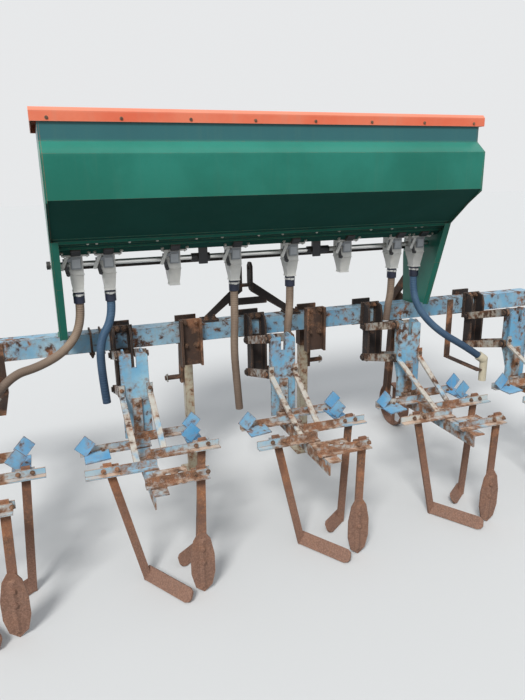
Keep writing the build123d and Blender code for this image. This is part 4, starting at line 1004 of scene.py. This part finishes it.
# Aside from an outlet, up from the trough
TROUGH_SPOTS = ((-0.062, 0.020), (0.062, 0.020), (-0.095, 0.100), (0.095, 0.100))
PANEL_HALF = 1.03
trough_bolts = []
for side in (-1, 1):
    way = (0, side * slope_out.x, slope_out.y)
    for x in OUTLETS:
        for aside, along in TROUGH_SPOTS:
            if abs(x + aside) < PANEL_HALF:
                trough_bolts.append(((x + aside, *on_slope(side, along, 0)), way))
fasteners("trough_bolts", trough_bolts, plated, "frame",
          size=(0.0065, 0.005, 0.004), seed=21)

# Lid rivets
# Dome rivets along the rear lip hold the stiffening strip inside the lid. Their paint has gone.
RIVET_COUNT, FIRST_RIVET, RIVET_STEP, RIVET_RISE = 8, -1.02, 0.2914, 0.016
lid_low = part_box("lid")[0]
rivets = [((FIRST_RIVET + step * RIVET_STEP, lid_low.y, lid_low.z + RIVET_RISE), REAR)
          for step in range(RIVET_COUNT)]
fasteners("lid_rivets", rivets, brown_iron, "lid",
          size=(0.0055, 0.002, 0.001), seed=4, sides=14)

# U-bolts
# Two U-bolts of round bar sit on the toolbar left of the second unit, each with a flat yoke below,
# left from a fitting that is no longer there.
U_PLACES, U_BAR, U_GAP = (-0.905, -0.852), 0.0055, 0.0003
U_REACH, YOKE_DROP, YOKE_MARGIN = 0.030, 0.010, 0.014
rear, front = bar_low.y - U_BAR - U_GAP, bar_high.y + U_BAR + U_GAP
top, bottom = bar_top + U_BAR + U_GAP, bar_low.z - U_REACH
u_bars, u_nuts = [], []
for x in U_PLACES:
    for y in (rear, front):
        u_bars.append(rod((x, y, bottom), (x, y, top), U_BAR))
        u_nuts.append(((x, y, bar_low.z - YOKE_DROP), DOWN))
    u_bars.append(rod((x, rear - U_BAR, top), (x, front + U_BAR, top), U_BAR))
    u_bars.append(block((x - YOKE_MARGIN, rear - YOKE_MARGIN, bar_low.z - YOKE_DROP),
                        (x + YOKE_MARGIN, front + YOKE_MARGIN, bar_low.z - U_GAP)))
piece("u_bolts", u_bars, brown_iron, "frame", 0.001)
fasteners("u_bolt_nuts", u_nuts, brown_iron, "frame",
          size=(0.010, 0.008, 0.010), seed=8)

# Linch pins
# A plated pin with a spring ring goes through the end of each lower hitch pin and keeps the
# tractor's ball on it.
HITCH_AHEAD, HITCH_Z, HITCH_END = 0.100, 0.605, 0.4875
PIN_DROP, PIN_RISE, PIN_RADIUS = 0.026, 0.024, 0.004
RING_INNER, RING_OUTER, RING_SHEET = 0.0190, 0.0220, 0.003
hitch_y = bar_y + HITCH_AHEAD
linch = []
for side in (-1, 1):
    x = side * HITCH_END
    linch.append(rod((x, hitch_y, HITCH_Z - PIN_DROP), (x, hitch_y, HITCH_Z + PIN_RISE),
                     PIN_RADIUS))
    linch.append(band((x + side * PIN_RADIUS, hitch_y, HITCH_Z), (side, 0, 0), RING_INNER,
                      RING_OUTER, RING_SHEET))
piece("linch_pins", linch, plated, "frame", 0.0008)

# Hoses
# Six fertiliser hoses of ribbed rubber, 42 mm across, pushed into the dark sleeves. The outer two
# run on to drop boots beside the outer units, and the other four hang with bare ends.
HOSE_DIAMETER = 0.042
RING_PITCH = 0.009


def hose_finish(name, color, second, ring_tone, length):
    """Rubber with moulded rings along the hose, read from the curve's own length coordinate."""
    material = plain_finish(name, color, second, 0.55, dusty=0.4)
    tree = material.node_tree
    shader = tree.nodes["Principled BSDF"]
    along = coordinate(tree, tree.nodes.new("ShaderNodeTexCoord").outputs["UV"], "X")
    wave = maths(tree, "SINE", times(tree, along, 2 * math.pi * length / RING_PITCH))
    plain = shader.inputs["Base Color"].links[0].from_socket
    ringed = mixed(tree, times(tree, spread(tree, wave, 0.1, 0.95), 0.35), plain, ring_tone)
    # Darker along the hose towards its far end.
    darker_towards_end = times(tree, spread(tree, along, 0.25, 1.0), 0.75)
    put(tree, shader.inputs["Base Color"], mixed(tree, darker_towards_end, ringed, ring_tone))
    relief(tree, shader, wave, 0.5, 0.0012)
    return material


RUBBER = {
    "beige_hose": ((0.24, 0.175, 0.130, 1), (0.35, 0.270, 0.205, 1), (0.13, 0.090, 0.070, 1)),
    "blue_hose": ((0.048, 0.115, 0.210, 1), (0.090, 0.175, 0.285, 1), (0.016, 0.038, 0.080, 1))}
HOSE_TOP = 0.200
# Name, slot, length, far end, outlet, height where it bends, and then points as (across, behind the
# toolbar's middle, above its top). Each hose starts straight down from its outlet.
HOSES = (
    ("hose_far_left", "beige_hose", 0.642, "object", -0.950, 0.090,
     ((-1.035, 0.235, -0.025), (-1.165, 0.275, -0.080), (-1.300, 0.320, -0.095),
      (-1.368, 0.345, -0.175))),
    ("hose_left", "blue_hose", 0.547, "bare", -0.800, 0.110,
     ((-0.872, 0.212, 0), (-0.878, 0.214, -0.160), (-0.866, 0.216, -0.330))),
    ("hose_centre_left", "beige_hose", 0.671, "bare", -0.160, 0.060,
     ((-0.172, 0.210, -0.130), (-0.160, 0.213, -0.330), (-0.152, 0.216, -0.470))),
    ("hose_centre_right", "beige_hose", 0.411, "bare", 0.160, 0.090,
     ((0.140, 0.210, -0.060), (0.138, 0.213, -0.210))),
    ("hose_right", "beige_hose", 0.255, "bare", 0.800, 0.112,
     ((0.786, 0.201, 0.030), (0.783, 0.196, -0.054))),
    ("hose_far_right", "blue_hose", 0.698, "object", 0.950, 0.090,
     ((1.010, 0.235, -0.040), (1.120, 0.280, -0.150), (1.260, 0.325, -0.235),
      (1.350, 0.350, -0.300))),
)
for name, slot, length, far_end, outlet, bend, rest in HOSES:
    points = ((outlet, OUTLET_BACK, HOSE_TOP), (outlet, OUTLET_BACK, bend), *rest)
    route = [(x, bar_y - behind, bar_top + rise) for x, behind, rise in points]
    curve = bpy.data.curves.new(name + "_line", "CURVE")
    curve.dimensions = "3D"
    curve.bevel_depth = HOSE_DIAMETER / 2
    curve.bevel_resolution = 6
    curve.resolution_u = 12
    curve.use_fill_caps = True
    spline = curve.splines.new("NURBS")
    spline.points.add(len(route) - 1)
    for point, spot in zip(spline.points, route):
        point.co = (*spot, 1)
    spline.order_u = 3
    spline.use_endpoint_u = True
    curve.materials.append(hose_finish(name + "_rubber", *RUBBER[slot], length))
    hose = new_object(name + "_rubber", curve)
    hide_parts(name)
    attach(hose, "frame")
